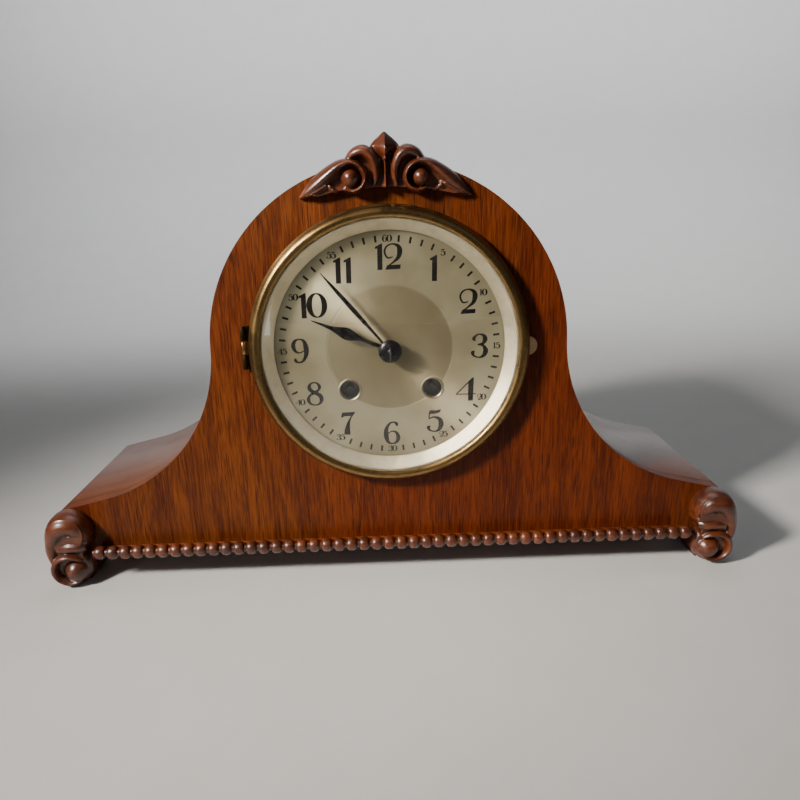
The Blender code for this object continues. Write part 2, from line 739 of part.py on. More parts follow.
def going_train():
    """Second, centre, third and escape wheels, each driving the next one's leaves."""
    phase = meshing(BARREL_TEETH, SPOTS["time"], SECOND_LEAVES, SPOTS["second"])
    layers = [
        (gear(SECOND_TEETH, SECOND_MODULE), 0.0165, 0.0177),
        (gear(SECOND_LEAVES, BARREL_MODULE, phase), 0.0432, 0.0472),
    ]
    wheel("second_wheel", "second", layers, (ARBOR, PIVOT_FRONT, PIVOT_BACK))
    phase = meshing(SECOND_TEETH, SPOTS["second"], CENTRE_LEAVES, CENTRE)
    layers = [
        (gear(CENTRE_TEETH, TRAIN_MODULE), 0.0205, 0.0217),
        (gear(CENTRE_LEAVES, SECOND_MODULE, phase), 0.0156, 0.0187),
    ]
    wheel("centre_wheel", "centre", layers, (ARBOR, MINUTE_PLANE, PIVOT_BACK))
    phase = meshing(CENTRE_TEETH, CENTRE, THIRD_LEAVES, SPOTS["third"])
    layers = [
        (gear(THIRD_TEETH, TRAIN_MODULE), 0.0260, 0.0272),
        (gear(THIRD_LEAVES, TRAIN_MODULE, phase), 0.0198, 0.0224),
    ]
    wheel("third_wheel", "third", layers, (ARBOR, PIVOT_FRONT, PIVOT_BACK))
    phase = meshing(THIRD_TEETH, SPOTS["third"], ESCAPE_LEAVES, SPOTS["escape"])
    layers = [
        (saw(ESCAPE_TEETH, ESCAPE_RADIUS - 0.0016, ESCAPE_RADIUS), 0.0330, 0.0340),
        (gear(ESCAPE_LEAVES, TRAIN_MODULE, phase), 0.0253, 0.0279),
    ]
    wheel("escape_wheel", "escape", layers, (ARBOR, PIVOT_FRONT, PIVOT_BACK))


def strike_train():
    """The strike barrel and the pin wheel, whose pins lift the hammer."""
    phase = meshing(BARREL_TEETH, SPOTS["strike"], PIN_LEAVES, SPOTS["pin"])
    layers = [
        (gear(PIN_TEETH, TRAIN_MODULE), 0.0170, 0.0182),
        (gear(PIN_LEAVES, BARREL_MODULE, phase), 0.0432, 0.0472),
    ]
    body = wheel("pin_wheel", "pin", layers, (ARBOR, PIVOT_FRONT, PIVOT_BACK))
    pins = [reach(SPOTS["pin"], 0.0092, 60 * number) for number in range(6)]
    join(body, *[arbor("pin", pin, 0.0150, 0.0176, 0.0005, STEEL, 6) for pin in pins])


def anchor():
    """Pallets astride the escape wheel, their arbor, and the crutch behind the back plate."""
    spot = SPOTS["anchor"]
    half, drop, waist = 0.0086, 0.0072, 0.0022
    right = [(0.0, 0.0026), (0.0030, 0.0018), (half, -0.0040), (half + 0.0012, -drop)]
    right += [(half - 0.0002, -drop), (half - 0.0018, -0.0044), (0.0028, -waist), (0.0, -waist)]
    body = plate("anchor", mirrored(right), [], 0.0326, 0.0344, STEEL, spot)
    bar = arbor("bar", spot, PIVOT_FRONT, 0.0600, ARBOR)
    x, z = spot
    foot = z - 0.046
    crutch = rod("crutch", (x, depth(0.0585), z), (x, depth(0.0585), foot), 0.0007, STEEL, 8)
    low = (x - 0.0034, 0.0572, foot - 0.0015)
    fork = block("fork", low, (x + 0.0034, PENDULUM_PLANE + 0.0026, foot + 0.0015), STEEL)
    body = join(body, bar, crutch, fork)
    low = (x - PIVOT_HOLE, PENDULUM_PLANE - 0.0026, foot - 0.003)
    cut(body, block("slot", low, (x + PIVOT_HOLE, PENDULUM_PLANE + 0.004, foot + 0.003), STEEL))


def pendulum():
    """Hung from a cock on the back plate: spring and rod, lens-shaped bob, rating nut."""
    x, z = SPOTS["anchor"]
    plane = PENDULUM_PLANE
    low = (-0.006, BACK_PLATE + PLATE_THICK + GAP, z + 0.0025)
    block("suspension_cock", low, (0.006, plane + 0.004, z + 0.0075), BRASS)
    bob_z = z - PENDULUM_LENGTH
    tip = bob_z - BOB_RADIUS - 0.0060
    shaft = rod("pendulum_rod", (x, depth(plane), z - 0.010), (x, depth(plane), tip), ARBOR, STEEL, 12)
    low = (x - 0.0022, plane - 0.0003, z - 0.012)
    join(shaft, block("spring", low, (x + 0.0022, plane + 0.0003, z + 0.0020), STEEL))
    lens = [(0.0, 0.0045), (0.0080, 0.0037), (0.0125, 0.0018), (BOB_RADIUS, 0.0)]
    lens += [(r, -h) for r, h in lens[-2::-1]]
    bob = turned("pendulum_bob", lens, BRASS, (x, bob_z), plane, 24)
    start, end = ((x, depth(plane), bob_z + lift) for lift in (-0.02, 0.02))
    cut(bob, rod("bore", start, end, PIVOT_HOLE, BRASS))
    top = bob_z - BOB_RADIUS - GAP
    start, end = ((x, depth(plane), top - drop) for drop in (0.0, 0.0032))
    nut = rod("rating_nut", start, end, 0.0032, BRASS, 12)
    start, end = ((x, depth(plane), top - drop) for drop in (-0.002, 0.006))
    cut(nut, rod("bore", start, end, PIVOT_HOLE, BRASS))


def gong():
    """A rod gong in its block on the base board, and the hammer that strikes it."""
    top = PANEL_BOTTOM + BASE_THICK
    block("gong_block", (-0.150, 0.058, top + GAP), (-0.128, 0.082, 0.054), IRON)
    start, end = ((x, depth(GONG_PLANE), GONG_Z) for x in (-0.128 + GAP, 0.118))
    rod("gong_rod", start, end, GONG_RADIUS, STEEL, 10)
    x, z = SPOTS["hammer"]
    bar = arbor("hammer", (x, z), PIVOT_FRONT, GONG_PLANE + 0.002, ARBOR, STEEL)
    head_x = x + 0.012
    bottom = GONG_Z + GONG_RADIUS + 0.0008
    start, end = (x, depth(GONG_PLANE), z), (head_x, depth(GONG_PLANE), bottom + 0.006)
    arm = rod("arm", start, end, 0.0011, STEEL, 8)
    start, end = ((head_x, depth(GONG_PLANE), bottom + lift) for lift in (0.0, 0.011))
    join(bar, arm, rod("head", start, end, 0.0042, BRASS, 14))


def main():
    case_front()
    case_shell()
    case_boards()
    back_door()
    for side, word in ((-1, "left"), (1, "right")):
        scroll_foot("scroll_foot_" + word, side)
        rear_foot("rear_foot_" + word, side)
    mouldings()
    bezel_and_glass()
    finger_tab()
    bezel_hinge()
    dial()
    hands()
    plates()
    motion_work()
    for name in ("time", "strike"):
        winding(name, name)
        click(name, name)
        barrel(name, name)
    going_train()
    strike_train()
    anchor()
    pendulum()
    gong()


main()
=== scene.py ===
"""The looks of a striking mantel clock: oak tambour case, carved mouldings, brass bezel and silvered dial.

Sizes are in millimetres. A point is (x, depth, z): depth is measured backwards from the front board's face,
so whatever stands proud of the board has a negative depth.
"""

import json
import math

import bmesh
import bpy
from mathutils import Matrix, Vector


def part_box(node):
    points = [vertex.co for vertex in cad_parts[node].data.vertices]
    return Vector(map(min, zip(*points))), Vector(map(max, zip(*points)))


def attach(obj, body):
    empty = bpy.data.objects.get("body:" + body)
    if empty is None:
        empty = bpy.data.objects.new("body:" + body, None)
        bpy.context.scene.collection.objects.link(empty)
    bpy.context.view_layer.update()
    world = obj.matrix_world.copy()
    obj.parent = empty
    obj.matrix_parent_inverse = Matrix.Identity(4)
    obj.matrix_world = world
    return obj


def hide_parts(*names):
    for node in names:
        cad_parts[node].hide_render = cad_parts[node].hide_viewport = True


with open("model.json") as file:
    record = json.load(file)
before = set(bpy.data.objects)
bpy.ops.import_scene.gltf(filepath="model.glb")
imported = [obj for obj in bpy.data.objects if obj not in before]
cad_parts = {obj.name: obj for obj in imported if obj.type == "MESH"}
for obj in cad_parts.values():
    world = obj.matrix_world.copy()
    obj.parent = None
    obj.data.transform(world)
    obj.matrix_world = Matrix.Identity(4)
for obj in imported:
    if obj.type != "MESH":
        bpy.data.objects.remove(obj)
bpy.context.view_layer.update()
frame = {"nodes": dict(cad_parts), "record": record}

MM = 0.001
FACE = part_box("front_panel")[0].y


def span(node):
    """A CAD node's lowest and highest corner, as (x, depth, z)."""
    return [Vector((c.x / MM, (c.y - FACE) / MM, c.z / MM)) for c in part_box(node)]


def middle(node):
    low, high = span(node)
    return (low + high) / 2


CENTRE = middle("dial_plate")
DIAL_FACE = span("dial_plate")[0].y
DISC_RADIUS = 38.3
DIAL_RADIUS = (span("dial_plate")[1].x - span("dial_plate")[0].x) / 2


# Camera and surroundings ---------------------------------------------------------------------

CAMERA_PLACE = (-4.21, -379.43, 236.52)
CAMERA_YAW, CAMERA_PITCH, CAMERA_ROLL = -0.0251, 0.3041, -0.0238
CAMERA_LENS = 28.8


def make_camera():
    """The camera stands a little above the crest and looks down at the dial."""
    data = bpy.data.cameras.new("camera")
    data.lens = CAMERA_LENS
    data.sensor_width = 36.0
    camera = bpy.data.objects.new("camera", data)
    x, depth, z = CAMERA_PLACE
    turn = Matrix.Rotation(CAMERA_YAW, 4, "Z") @ Matrix.Rotation(math.pi / 2 - CAMERA_PITCH, 4, "X")
    camera.matrix_world = (
        Matrix.Translation((x * MM, FACE + depth * MM, z * MM))
        @ turn
        @ Matrix.Rotation(CAMERA_ROLL, 4, "Z")
    )
    bpy.context.scene.collection.objects.link(camera)
    bpy.context.scene.camera = camera


def area_light(name, towards, distance, size, power, colour, spread=180.0, aim=None):
    """A soft light that shines from this direction on the dial, or on another place that aim gives in metres."""
    data = bpy.data.lights.new(name, "AREA")
    data.shape = "RECTANGLE"
    data.size, data.size_y = size
    data.energy = power
    data.color = colour
    data.spread = math.radians(spread)
    light = bpy.data.objects.new(name, data)
    aim = Vector(aim or (CENTRE.x * MM, FACE, CENTRE.z * MM))
    away = Vector(towards).normalized()
    light.location = aim + away * distance
    light.rotation_euler = away.to_track_quat("Z", "Y").to_euler()
    light.visible_camera = False
    bpy.context.scene.collection.objects.link(light)


def make_surroundings():
    """A pale sweep of floor and wall, lit like a room with a window on the left."""
    area_light("window", (-0.72, -0.47, 0.51), 1.0, (0.13, 0.16), 2.5, (1.0, 0.94, 0.86), 52.0)
    area_light("pane", (-0.72, -0.68, 0.18), 1.5, (0.16, 0.9), 1.5, (0.90, 0.95, 1.0))
    area_light("room", (0.50, -0.75, 0.62), 1.9, (1.4, 1.0), 0.6, (0.92, 0.96, 1.0))
    area_light("top", (0.05, 0.35, 0.93), 1.6, (1.2, 0.5), 1.3, (0.95, 0.98, 1.0), 90.0)
    area_light(
        "wall_wash", (0.0, -0.75, 0.66), 0.9, (2.4, 0.3), 15.0, (0.95, 0.98, 1.0), 120.0, (0.20, 1.2, 0.40)
    )
    world = bpy.data.worlds.new("room")
    world.use_nodes = True
    background = world.node_tree.nodes["Background"]
    background.inputs["Color"].default_value = (0.80, 0.83, 0.86, 1.0)
    seen = world.node_tree.nodes.new("ShaderNodeLightPath").outputs["Is Camera Ray"]
    strength = world.node_tree.nodes.new("ShaderNodeMapRange")
    strength.inputs["To Min"].default_value = 0.07
    strength.inputs["To Max"].default_value = 0.55
    world.node_tree.links.new(seen, strength.inputs["Value"])
    world.node_tree.links.new(strength.outputs["Result"], background.inputs["Strength"])
    bpy.context.scene.world = world
    bend = [
        (0.8 + 0.4 * math.sin(a), 0.4 - 0.4 * math.cos(a)) for a in (math.pi / 24 * i for i in range(13))
    ]
    line = [(-4.0, 0.0), *bend, (1.2, 3.0)]
    mesh = bpy.data.meshes.new("sweep")
    points = [(x, y, z) for y, z in line for x in (-7.0, 7.0)]
    faces = [(2 * i, 2 * i + 1, 2 * i + 3, 2 * i + 2) for i in range(len(line) - 1)]
    mesh.from_pydata(points, [], faces)
    mesh.shade_smooth()
    mesh.materials.append(pale_floor())
    sweep = bpy.data.objects.new("sweep", mesh)
    bpy.context.scene.collection.objects.link(sweep)


# Materials -----------------------------------------------------------------------------------


class Finish:
    """A material under construction: its Principled shader and short ways to add nodes."""

    def __init__(self, name, **values):
        self.material = bpy.data.materials.new(name)
        self.material.use_nodes = True
        self.tree = self.material.node_tree
        self.shader = self.tree.nodes["Principled BSDF"]
        for socket, value in values.items():
            self.set(self.shader, socket.replace("_", " "), value)

    def set(self, node, socket, value):
        target = node.inputs[socket]
        if isinstance(value, bpy.types.NodeSocket):
            self.tree.links.new(value, target)
        elif target.type == "RGBA":
            target.default_value = (*value, 1.0)
        else:
            target.default_value = value

    def node(self, kind, inputs=(), **settings):
        made = self.tree.nodes.new(kind)
        for key, value in settings.items():
            setattr(made, key, value)
        for socket, value in dict(inputs).items():
            self.set(made, socket, value)
        return made

    def place(self, scale, source="Object"):
        """Texture coordinates in metres, stretched by this scale."""
        kind = "ShaderNodeUVMap" if source == "UV" else "ShaderNodeTexCoord"
        coordinates = self.node(kind).outputs[source]
        return self.node("ShaderNodeMapping", {"Vector": coordinates, "Scale": scale}).outputs[0]

    def noise(self, vector, scale, detail=3.0, roughness=0.55):
        inputs = {"Vector": vector, "Scale": scale, "Detail": detail, "Roughness": roughness}
        return self.node("ShaderNodeTexNoise", inputs).outputs["Fac"]

    def cells(self, vector, scale):
        inputs = {"Vector": vector, "Scale": scale}
        return self.node("ShaderNodeTexVoronoi", inputs).outputs["Distance"]

    def between(self, value, low, high):
        """0 where value is at low, 1 at high, and smooth in between."""
        inputs = {"Value": value, "From Min": low, "From Max": high}
        made = self.node("ShaderNodeMapRange", inputs, interpolation_type="SMOOTHSTEP")
        return made.outputs["Result"]

    def math(self, operation, a, b):
        made = self.node("ShaderNodeMath", operation=operation)
        self.set(made, 0, a)
        self.set(made, 1, b)
        return made.outputs[0]

    def mix(self, share, a, b):
        made = self.node("ShaderNodeMix", data_type="RGBA")
        for socket, value in ((0, share), (6, a), (7, b)):
            self.set(made, socket, value)
        return made.outputs[2]

    def shift(self, vector, amount, scale):
        """Coordinates that wander, as wood grain does."""
        wander = self.node("ShaderNodeTexNoise", {"Vector": vector, "Scale": scale}).outputs["Color"]
        made = self.node("ShaderNodeVectorMath", operation="MULTIPLY_ADD")
        self.set(made, 0, wander)
        self.set(made, 1, (amount, amount, amount))
        self.set(made, 2, vector)
        return made.outputs[0]

    def bump(self, height, distance, strength=1.0):
        inputs = {"Height": height, "Distance": distance * MM, "Strength": strength}
        normal = self.node("ShaderNodeBump", inputs).outputs[0]
        self.set(self.shader, "Normal", normal)


REDDER = (0.92, 0.66, 0.62)


def wood(name, light, dark, pore, grain, rough, coat, pores=0.8, source="Object", depth=0.10):
    """Stained and varnished wood. Grain is how much slower the pattern changes along each axis."""
    made = Finish(
        name, Coat_Weight=coat, Coat_Roughness=0.2, IOR=1.45, Specular_IOR_Level=0.12 + 0.3 * coat
    )
    base = made.place(grain, source)
    wavy = made.shift(base, 0.0030, 24.0)
    bands = made.noise(wavy, 60.0, 4.0)
    fibres = made.noise(wavy, 760.0, 4.0, 0.7)
    cells = made.cells(made.shift(base, 0.0010, 120.0), 1050.0)
    dashes = made.between(cells, 0.42, 0.20)
    clusters = made.between(made.noise(wavy, 170.0, 2.0), 0.34, 0.56)
    open_pores = made.math("MULTIPLY", dashes, clusters)
    tone = made.math("ADD", made.math("MULTIPLY", bands, 0.65), made.math("MULTIPLY", fibres, 1.0))
    tone = made.between(tone, 0.58, 1.09)
    colour = made.mix(tone, dark, light)
    drift = made.between(made.noise(made.place((1.0, 1.0, 0.5)), 9.0, 1.0), 0.38, 0.62)
    redder = made.mix(
        tone, [c * f for c, f in zip(dark, REDDER)], [c * f for c, f in zip(light, REDDER)]
    )
    colour = made.mix(drift, colour, redder)
    colour = made.mix(made.math("MULTIPLY", open_pores, pores), colour, pore)
    made.set(made.shader, "Base Color", colour)
    streaks = made.math("MULTIPLY", fibres, 0.22)
    made.set(made.shader, "Roughness", made.math("ADD", streaks, rough))
    height = made.math("SUBTRACT", made.math("MULTIPLY", fibres, 0.5), open_pores)
    made.bump(height, depth)
    return made.material


def carved_wood(name, light, dark):
    """Dark polished carving: paler on worn edges, and much darker in the hollows, where painted shade is laid
    over old wax and dust.
    """
    made = Finish(name, Coat_Weight=0.35, Coat_Roughness=0.24, IOR=1.5)
    base = made.place((0.35, 1.0, 1.0))
    fibres = made.noise(made.shift(base, 0.003, 40.0), 420.0, 5.0, 0.65)
    patches = made.noise(base, 60.0)
    worn = made.node("ShaderNodeNewGeometry").outputs["Pointiness"]
    hollow = made.between(worn, 0.515, 0.44)
    ridge = made.between(worn, 0.53, 0.60)
    tone = made.between(made.math("ADD", fibres, patches), 0.75, 1.3)
    colour = made.mix(tone, dark, light)
    # The hollows found by pointiness are darkened hard: painted shade, with some dust.
    colour = made.mix(made.math("MULTIPLY", hollow, 0.85), colour, [c * 0.16 for c in dark])
    colour = made.mix(made.math("MULTIPLY", ridge, 0.5), colour, [c * 1.7 for c in light])
    made.set(made.shader, "Base Color", colour)
    rough = made.math("ADD", made.math("MULTIPLY", fibres, 0.2), 0.28)
    made.set(made.shader, "Roughness", rough)
    made.bump(fibres, 0.05)
    return made.material


def metal(name, bright, dull, rough, spots=0.5, lines=(1.0, 1.0, 1.0)):
    """Old lacquered or bare metal with tarnish, fine scratches and fingermarks."""
    made = Finish(name, Metallic=1.0)
    base = made.place(lines)
    tarnish = made.between(made.noise(base, 70.0, 6.0, 0.65), 0.42, 0.66)
    specks = made.between(made.noise(base, 900.0, 3.0), 0.60, 0.72)
    scratches = made.noise(base, 1500.0, 2.0, 0.8)
    share = made.math("MULTIPLY", tarnish, spots)
    share = made.math("MAXIMUM", share, made.math("MULTIPLY", specks, spots * 0.7))
    made.set(made.shader, "Base Color", made.mix(share, bright, dull))
    added = made.math("MULTIPLY", share, 0.35)
    added = made.math("ADD", added, made.math("MULTIPLY", scratches, 0.12))
    made.set(made.shader, "Roughness", made.math("ADD", added, rough))
    made.bump(scratches, 0.008)
    return made.material


def silvered_dial():
    """A silvered plate brushed in circles, a little yellowed and spotted with age."""
    made = Finish("silvered_dial", Metallic=0.6, Anisotropic=0.88, Anisotropic_Rotation=0.25)
    tangent = made.node("ShaderNodeTangent", direction_type="RADIAL", axis="Y")
    made.set(made.shader, "Tangent", tangent.outputs[0])
    base = made.place((1.0, 1.0, 1.0))
    yellowed = made.between(made.noise(base, 26.0, 3.0), 0.36, 0.66)
    foxed = made.between(made.noise(base, 420.0, 4.0, 0.7), 0.63, 0.80)
    colour = made.mix(yellowed, (0.270, 0.238, 0.152), (0.196, 0.163, 0.094))
    colour = made.mix(made.math("MULTIPLY", foxed, 0.35), colour, (0.10, 0.075, 0.04))
    away = radial(made)
    distance = made.node("ShaderNodeSeparateXYZ", {"Vector": away}).outputs["X"]
    disc = made.between(distance, DISC_RADIUS * MM * 1.01, DISC_RADIUS * MM * 0.96)
    colour = made.mix(made.math("MULTIPLY", disc, 0.5), colour, (0.115, 0.088, 0.044))
    made.set(made.shader, "Base Color", colour)
    rings = made.noise(away, 5200.0, 2.0, 0.8)
    rough = made.math("ADD", made.math("MULTIPLY", rings, 0.16), 0.36)
    made.set(made.shader, "Roughness", rough)
    made.bump(rings, 0.006)
    return made.material


def radial(made):
    """A coordinate that only changes with the distance from the dial's centre."""
    place = made.node("ShaderNodeTexCoord").outputs["Object"]
    middle_point = (CENTRE.x * MM, 0.0, CENTRE.z * MM)
    away = made.node("ShaderNodeVectorMath", operation="SUBTRACT")
    made.set(away, 0, place)
    made.set(away, 1, middle_point)
    flat = made.node("ShaderNodeVectorMath", operation="MULTIPLY")
    made.set(flat, 0, away.outputs[0])
    made.set(flat, 1, (1.0, 0.0, 1.0))
    length = made.node("ShaderNodeVectorMath", operation="LENGTH")
    made.set(length, 0, flat.outputs[0])
    return made.node("ShaderNodeCombineXYZ", {"X": length.outputs["Value"]}).outputs[0]


def lacquer(name, colour, rough, shine=0.3):
    """A dark even coat: printed figures and blued hands, with slight wear."""
    made = Finish(name, Specular_IOR_Level=shine)
    base = made.place((1.0, 1.0, 1.0))
    worn = made.between(made.noise(base, 300.0, 4.0, 0.7), 0.45, 0.75)
    made.set(made.shader, "Base Color", made.mix(worn, colour, [c * 2.2 + 0.004 for c in colour]))
    made.set(made.shader, "Roughness", made.math("ADD", made.math("MULTIPLY", worn, 0.15), rough))
    made.bump(made.noise(base, 1400.0), 0.01)
    return made.material


def window_glass():
    """Old convex glass: clear, with faint waves."""
    made = Finish(
        "clear_glass", Transmission_Weight=1.0, Roughness=0.0, IOR=1.46, Specular_IOR_Level=0.25
    )
    made.set(made.shader, "Base Color", (0.97, 0.98, 0.97))
    waves = made.noise(made.place((1.0, 1.0, 1.0)), 18.0, 1.0)
    made.bump(waves, 0.04)
    return made.material


def pale_floor():
    made = Finish("pale_floor", Roughness=0.75)
    soft = made.noise(made.place((1.0, 1.0, 1.0)), 30.0, 4.0)
    made.set(made.shader, "Base Color", made.mix(soft, (0.49, 0.482, 0.468), (0.54, 0.532, 0.518)))
    return made.material


def cast_iron():
    made = Finish("cast_iron", Metallic=0.4)
    grain = made.noise(made.place((1.0, 1.0, 1.0)), 700.0, 5.0, 0.7)
    made.set(made.shader, "Base Color", made.mix(grain, (0.015, 0.014, 0.013), (0.07, 0.055, 0.045)))
    made.set(made.shader, "Roughness", made.math("ADD", made.math("MULTIPLY", grain, 0.3), 0.45))
    made.bump(grain, 0.15)
    return made.material


# Shapes --------------------------------------------------------------------------------------
# A shape is (points, faces). Several shapes go into one piece.


def smooth(points, steps=8, closed=False):
    """Points along a curve through these, which may have any number of coordinates."""
    made, count = [], len(points)
    for i in range(count if closed else count - 1):
        ends = [i + k if closed else min(max(i + k, 0), count - 1) for k in (-1, 0, 1, 2)]
        a, b, c, d = (points[k % count] for k in ends)
        for step in range(steps):
            t = step / steps
            made.append(
                tuple(
                    q + 0.5 * t * (r - p + t * (2 * p - 5 * q + 4 * r - s + t * (3 * (q - r) + s - p)))
                    for p, q, r, s in zip(a, b, c, d)
                )
            )
    return made if closed else made + [tuple(points[-1])]


def filleted(points, radius, closed=True, steps=4):
    """The same outline with its corners rounded."""
    made, count = [], len(points)
    for i, corner in enumerate(points):
        here = Vector(corner)
        back = Vector(points[i - 1]) - here
        onward = Vector(points[(i + 1) % count]) - here
        if (not closed and i in (0, count - 1)) or back.angle(-onward) < 0.3:
            made.append(tuple(corner))
            continue
        reach = min(radius, back.length * 0.45, onward.length * 0.45)
        start, end = here + back.normalized() * reach, here + onward.normalized() * reach
        for step in range(steps + 1):
            t = step / steps
            made.append(tuple(start.lerp(here, t).lerp(here.lerp(end, t), t)))
    return made


def arc(centre, radius, start, end, steps):
    angles = [start + (end - start) * i / steps for i in range(steps + 1)]
    return [(centre[0] + radius * math.cos(a), centre[1] + radius * math.sin(a)) for a in angles]


def circle(radius, steps, centre=(0.0, 0.0)):
    return arc(centre, radius, 0.0, 2 * math.pi, steps)[:-1]


def flip(points):
    """A right-hand run of points from the top down, led up to by its mirror image on the left."""
    return [(-x, z) for x, z in reversed(points) if abs(x) > 1e-6] + points


def loft(rings, closed=False):
    """A solid through rings of points. Its ends are capped unless its path closes."""
    size = len(rings[0])
    points = [point for ring in rings for point in ring]
    faces = []
    for i in range(len(rings) if closed else len(rings) - 1):
        a, b = i * size, (i + 1) % len(rings) * size
        faces += [(a + j, a + (j + 1) % size, b + (j + 1) % size, b + j) for j in range(size)]
    if not closed:
        faces += [tuple(range(size)), tuple(range(len(points) - size, len(points)))]
    return points, faces


AXES = {"x": (0, 1, 2), "depth": (1, 2, 0), "z": (2, 0, 1)}


def turned(profile, centre, axis="depth", steps=128, ring=False):
    """Turned about an axis through centre. Profile: (radius, distance along the axis)."""
    along, across, up = AXES[axis]
    points, rows, faces = [], [], []
    for radius, distance in profile:
        sides = steps if radius > 1e-6 else 1
        rows.append([len(points) + i for i in range(sides)])
        for i in range(sides):
            turn = 2 * math.pi * i / steps
            point = list(centre)
            point[along] += distance
            point[across] += radius * math.cos(turn)
            point[up] += radius * math.sin(turn)
            points.append(tuple(point))
    pairs = list(zip(rows, rows[1:]))
    if ring:
        pairs.append((rows[-1], rows[0]))
    for a, b in pairs:
        for i in range(steps if len(a) + len(b) > 2 else 0):
            j = (i + 1) % steps
            corners = [a[i % len(a)], a[j % len(a)], b[j % len(b)], b[i % len(b)]]
            faces.append(tuple(dict.fromkeys(corners)))
    if not ring:
        faces += [tuple(row) for row in (rows[0], rows[-1]) if len(row) > 1]
    return points, faces


def box(low, high, soften=0.0):
    """A box with rounded upright edges, between two corners."""
    x0, d0, z0 = low
    x1, d1, z1 = high
    outline = [(x0, z0), (x1, z0), (x1, z1), (x0, z1)]
    return slab(filleted(outline, soften) if soften else outline, d0, d1)


def slab(outline, front, back):
    """An outline of (x, z) points, from one depth to another."""
    return loft([[(x, depth, z) for x, z in outline] for depth in (front, back)])


def rib(line, bulge=2.0, side=0.3, base=0.3, across=12, steps=6):
    """A carved member through (x, z, width, height). Bulge 1 is a ridge, 2 half round and 3 flatter."""
    path = smooth(line, steps)
    rings = []
    for i, (x, z, width, height) in enumerate(path):
        before, after = path[max(i - 1, 0)], path[min(i + 1, len(path) - 1)]
        dx, dz = after[0] - before[0], after[1] - before[1]
        length = math.hypot(dx, dz)
        ring = []
        for j in range(across + 1):
            u = -math.cos(math.pi * j / across)
            crown = max(height - base - side, 0.02)
            lift = base + side + crown * (1 - min(abs(u), 1.0) ** bulge) ** (1 / bulge)
            ring.append((x - dz / length * u * width / 2, -lift, z + dx / length * u * width / 2))
        ring += [(ring[-1][0], -base, ring[-1][2]), (ring[0][0], -base, ring[0][2])]
        rings.append(ring)
    return loft(rings)


def knob(x, z, radius, height, base=0.3, steps=28):
    """A rounded boss on the front board."""
    profile = [(0.0, -height)]
    for i in range(1, 8):
        a = math.pi / 2 * i / 7
        profile.append((radius * math.sin(a), -base - (height - base) * math.cos(a) ** 0.9))
    return turned(profile + [(0.0, -base)], (x, 0.0, z), steps=steps)


def mirror(shape):
    """The same shape on the other side of the clock."""
    points, faces = shape
    return [(2 * CENTRE.x - x, depth, z) for x, depth, z in points], faces


def piece(name, *shapes, angle=38.0, bevel=0.0, segments=2):
    """One object of these shapes, shaded smooth up to this angle."""
    mesh = bpy.data.meshes.new(name)
    points, faces = [], []
    for shape_points, shape_faces in shapes:
        start = len(points)
        points += [(x * MM, FACE + depth * MM, z * MM) for x, depth, z in shape_points]
        faces += [tuple(start + i for i in face) for face in shape_faces]
    mesh.from_pydata(points, [], faces)
    tidy = bmesh.new()
    tidy.from_mesh(mesh)
    bmesh.ops.remove_doubles(tidy, verts=tidy.verts, dist=1e-7)
    bmesh.ops.recalc_face_normals(tidy, faces=tidy.faces)
    tidy.to_mesh(mesh)
    tidy.free()
    made = bpy.data.objects.new(name, mesh)
    bpy.context.scene.collection.objects.link(made)
    if bevel:
        soften(made, bevel, segments)
    else:
        mesh.shade_smooth()
        mesh.set_sharp_from_angle(angle=math.radians(angle))
    return made


def soften(made, width, segments=2):
    """Rounded edges whose flat neighbours stay flat."""
    made.data.shade_smooth()
    modifier = made.modifiers.new("edges", "BEVEL")
    modifier.width = width * MM
    modifier.segments = segments
    modifier.limit_method = "ANGLE"
    modifier.angle_limit = math.radians(40.0)
    modifier.harden_normals = True


def settle(made):
    """The object with its modifiers worked into its mesh."""
    graph = bpy.context.evaluated_depsgraph_get()
    mesh = bpy.data.meshes.new_from_object(made.evaluated_get(graph))
    made.modifiers.clear()
    made.data = mesh


def carved(name, shapes, voxel=0.42, rounds=3):
    """Shapes grown together into one carving, as if cut from one block."""
    made = piece(name, *shapes)
    grown = made.modifiers.new("grown", "REMESH")
    grown.mode = "VOXEL"
    grown.voxel_size = voxel * MM
    eased = made.modifiers.new("eased", "SMOOTH")
    eased.iterations = rounds
    eased.factor = 0.5
    settle(made)
    made.data.shade_smooth()
    return made


def pierced(name, outline, holes, front, back, bevel=0.3, centre=(0.0, 0.0), segments=2):
    """A flat board or plate with holes."""
    curve = bpy.data.curves.new(name, "CURVE")
    curve.dimensions = "2D"
    curve.fill_mode = "BOTH"
    curve.extrude = (back - front) / 2 * MM
    for points in [outline, *holes]:
        spline = curve.splines.new("POLY")
        spline.points.add(len(points) - 1)
        for point, (x, z) in zip(spline.points, points):
            point.co = (x * MM, z * MM, 0.0, 1.0)
        spline.use_cyclic_u = True
    made = bpy.data.objects.new(name, curve)
    bpy.context.scene.collection.objects.link(made)
    graph = bpy.context.evaluated_depsgraph_get()
    mesh = bpy.data.meshes.new_from_object(made.evaluated_get(graph))
    bpy.data.objects.remove(made)
    at = (centre[0] * MM, FACE + (front + back) / 2 * MM, centre[1] * MM)
    mesh.transform(Matrix.Translation(at) @ Matrix.Rotation(math.pi / 2, 4, "X"))
    tidy = bmesh.new()
    tidy.from_mesh(mesh)
    bmesh.ops.remove_doubles(tidy, verts=tidy.verts, dist=1e-7)
    bmesh.ops.recalc_face_normals(tidy, faces=tidy.faces)
    tidy.to_mesh(mesh)
    tidy.free()
    made = bpy.data.objects.new(name, mesh)
    bpy.context.scene.collection.objects.link(made)
    soften(made, bevel, segments)
    return made


def fit(made, finish, body, *nodes, slot=None):
    """Gives a piece its material, the body it rides on and the CAD nodes that it stands for."""
    made.data.materials.clear()
    made.data.materials.append(finish)
    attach(made, body)
    if nodes:
        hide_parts(*nodes)
    return made


# Case ----------------------------------------------------------------------------------------

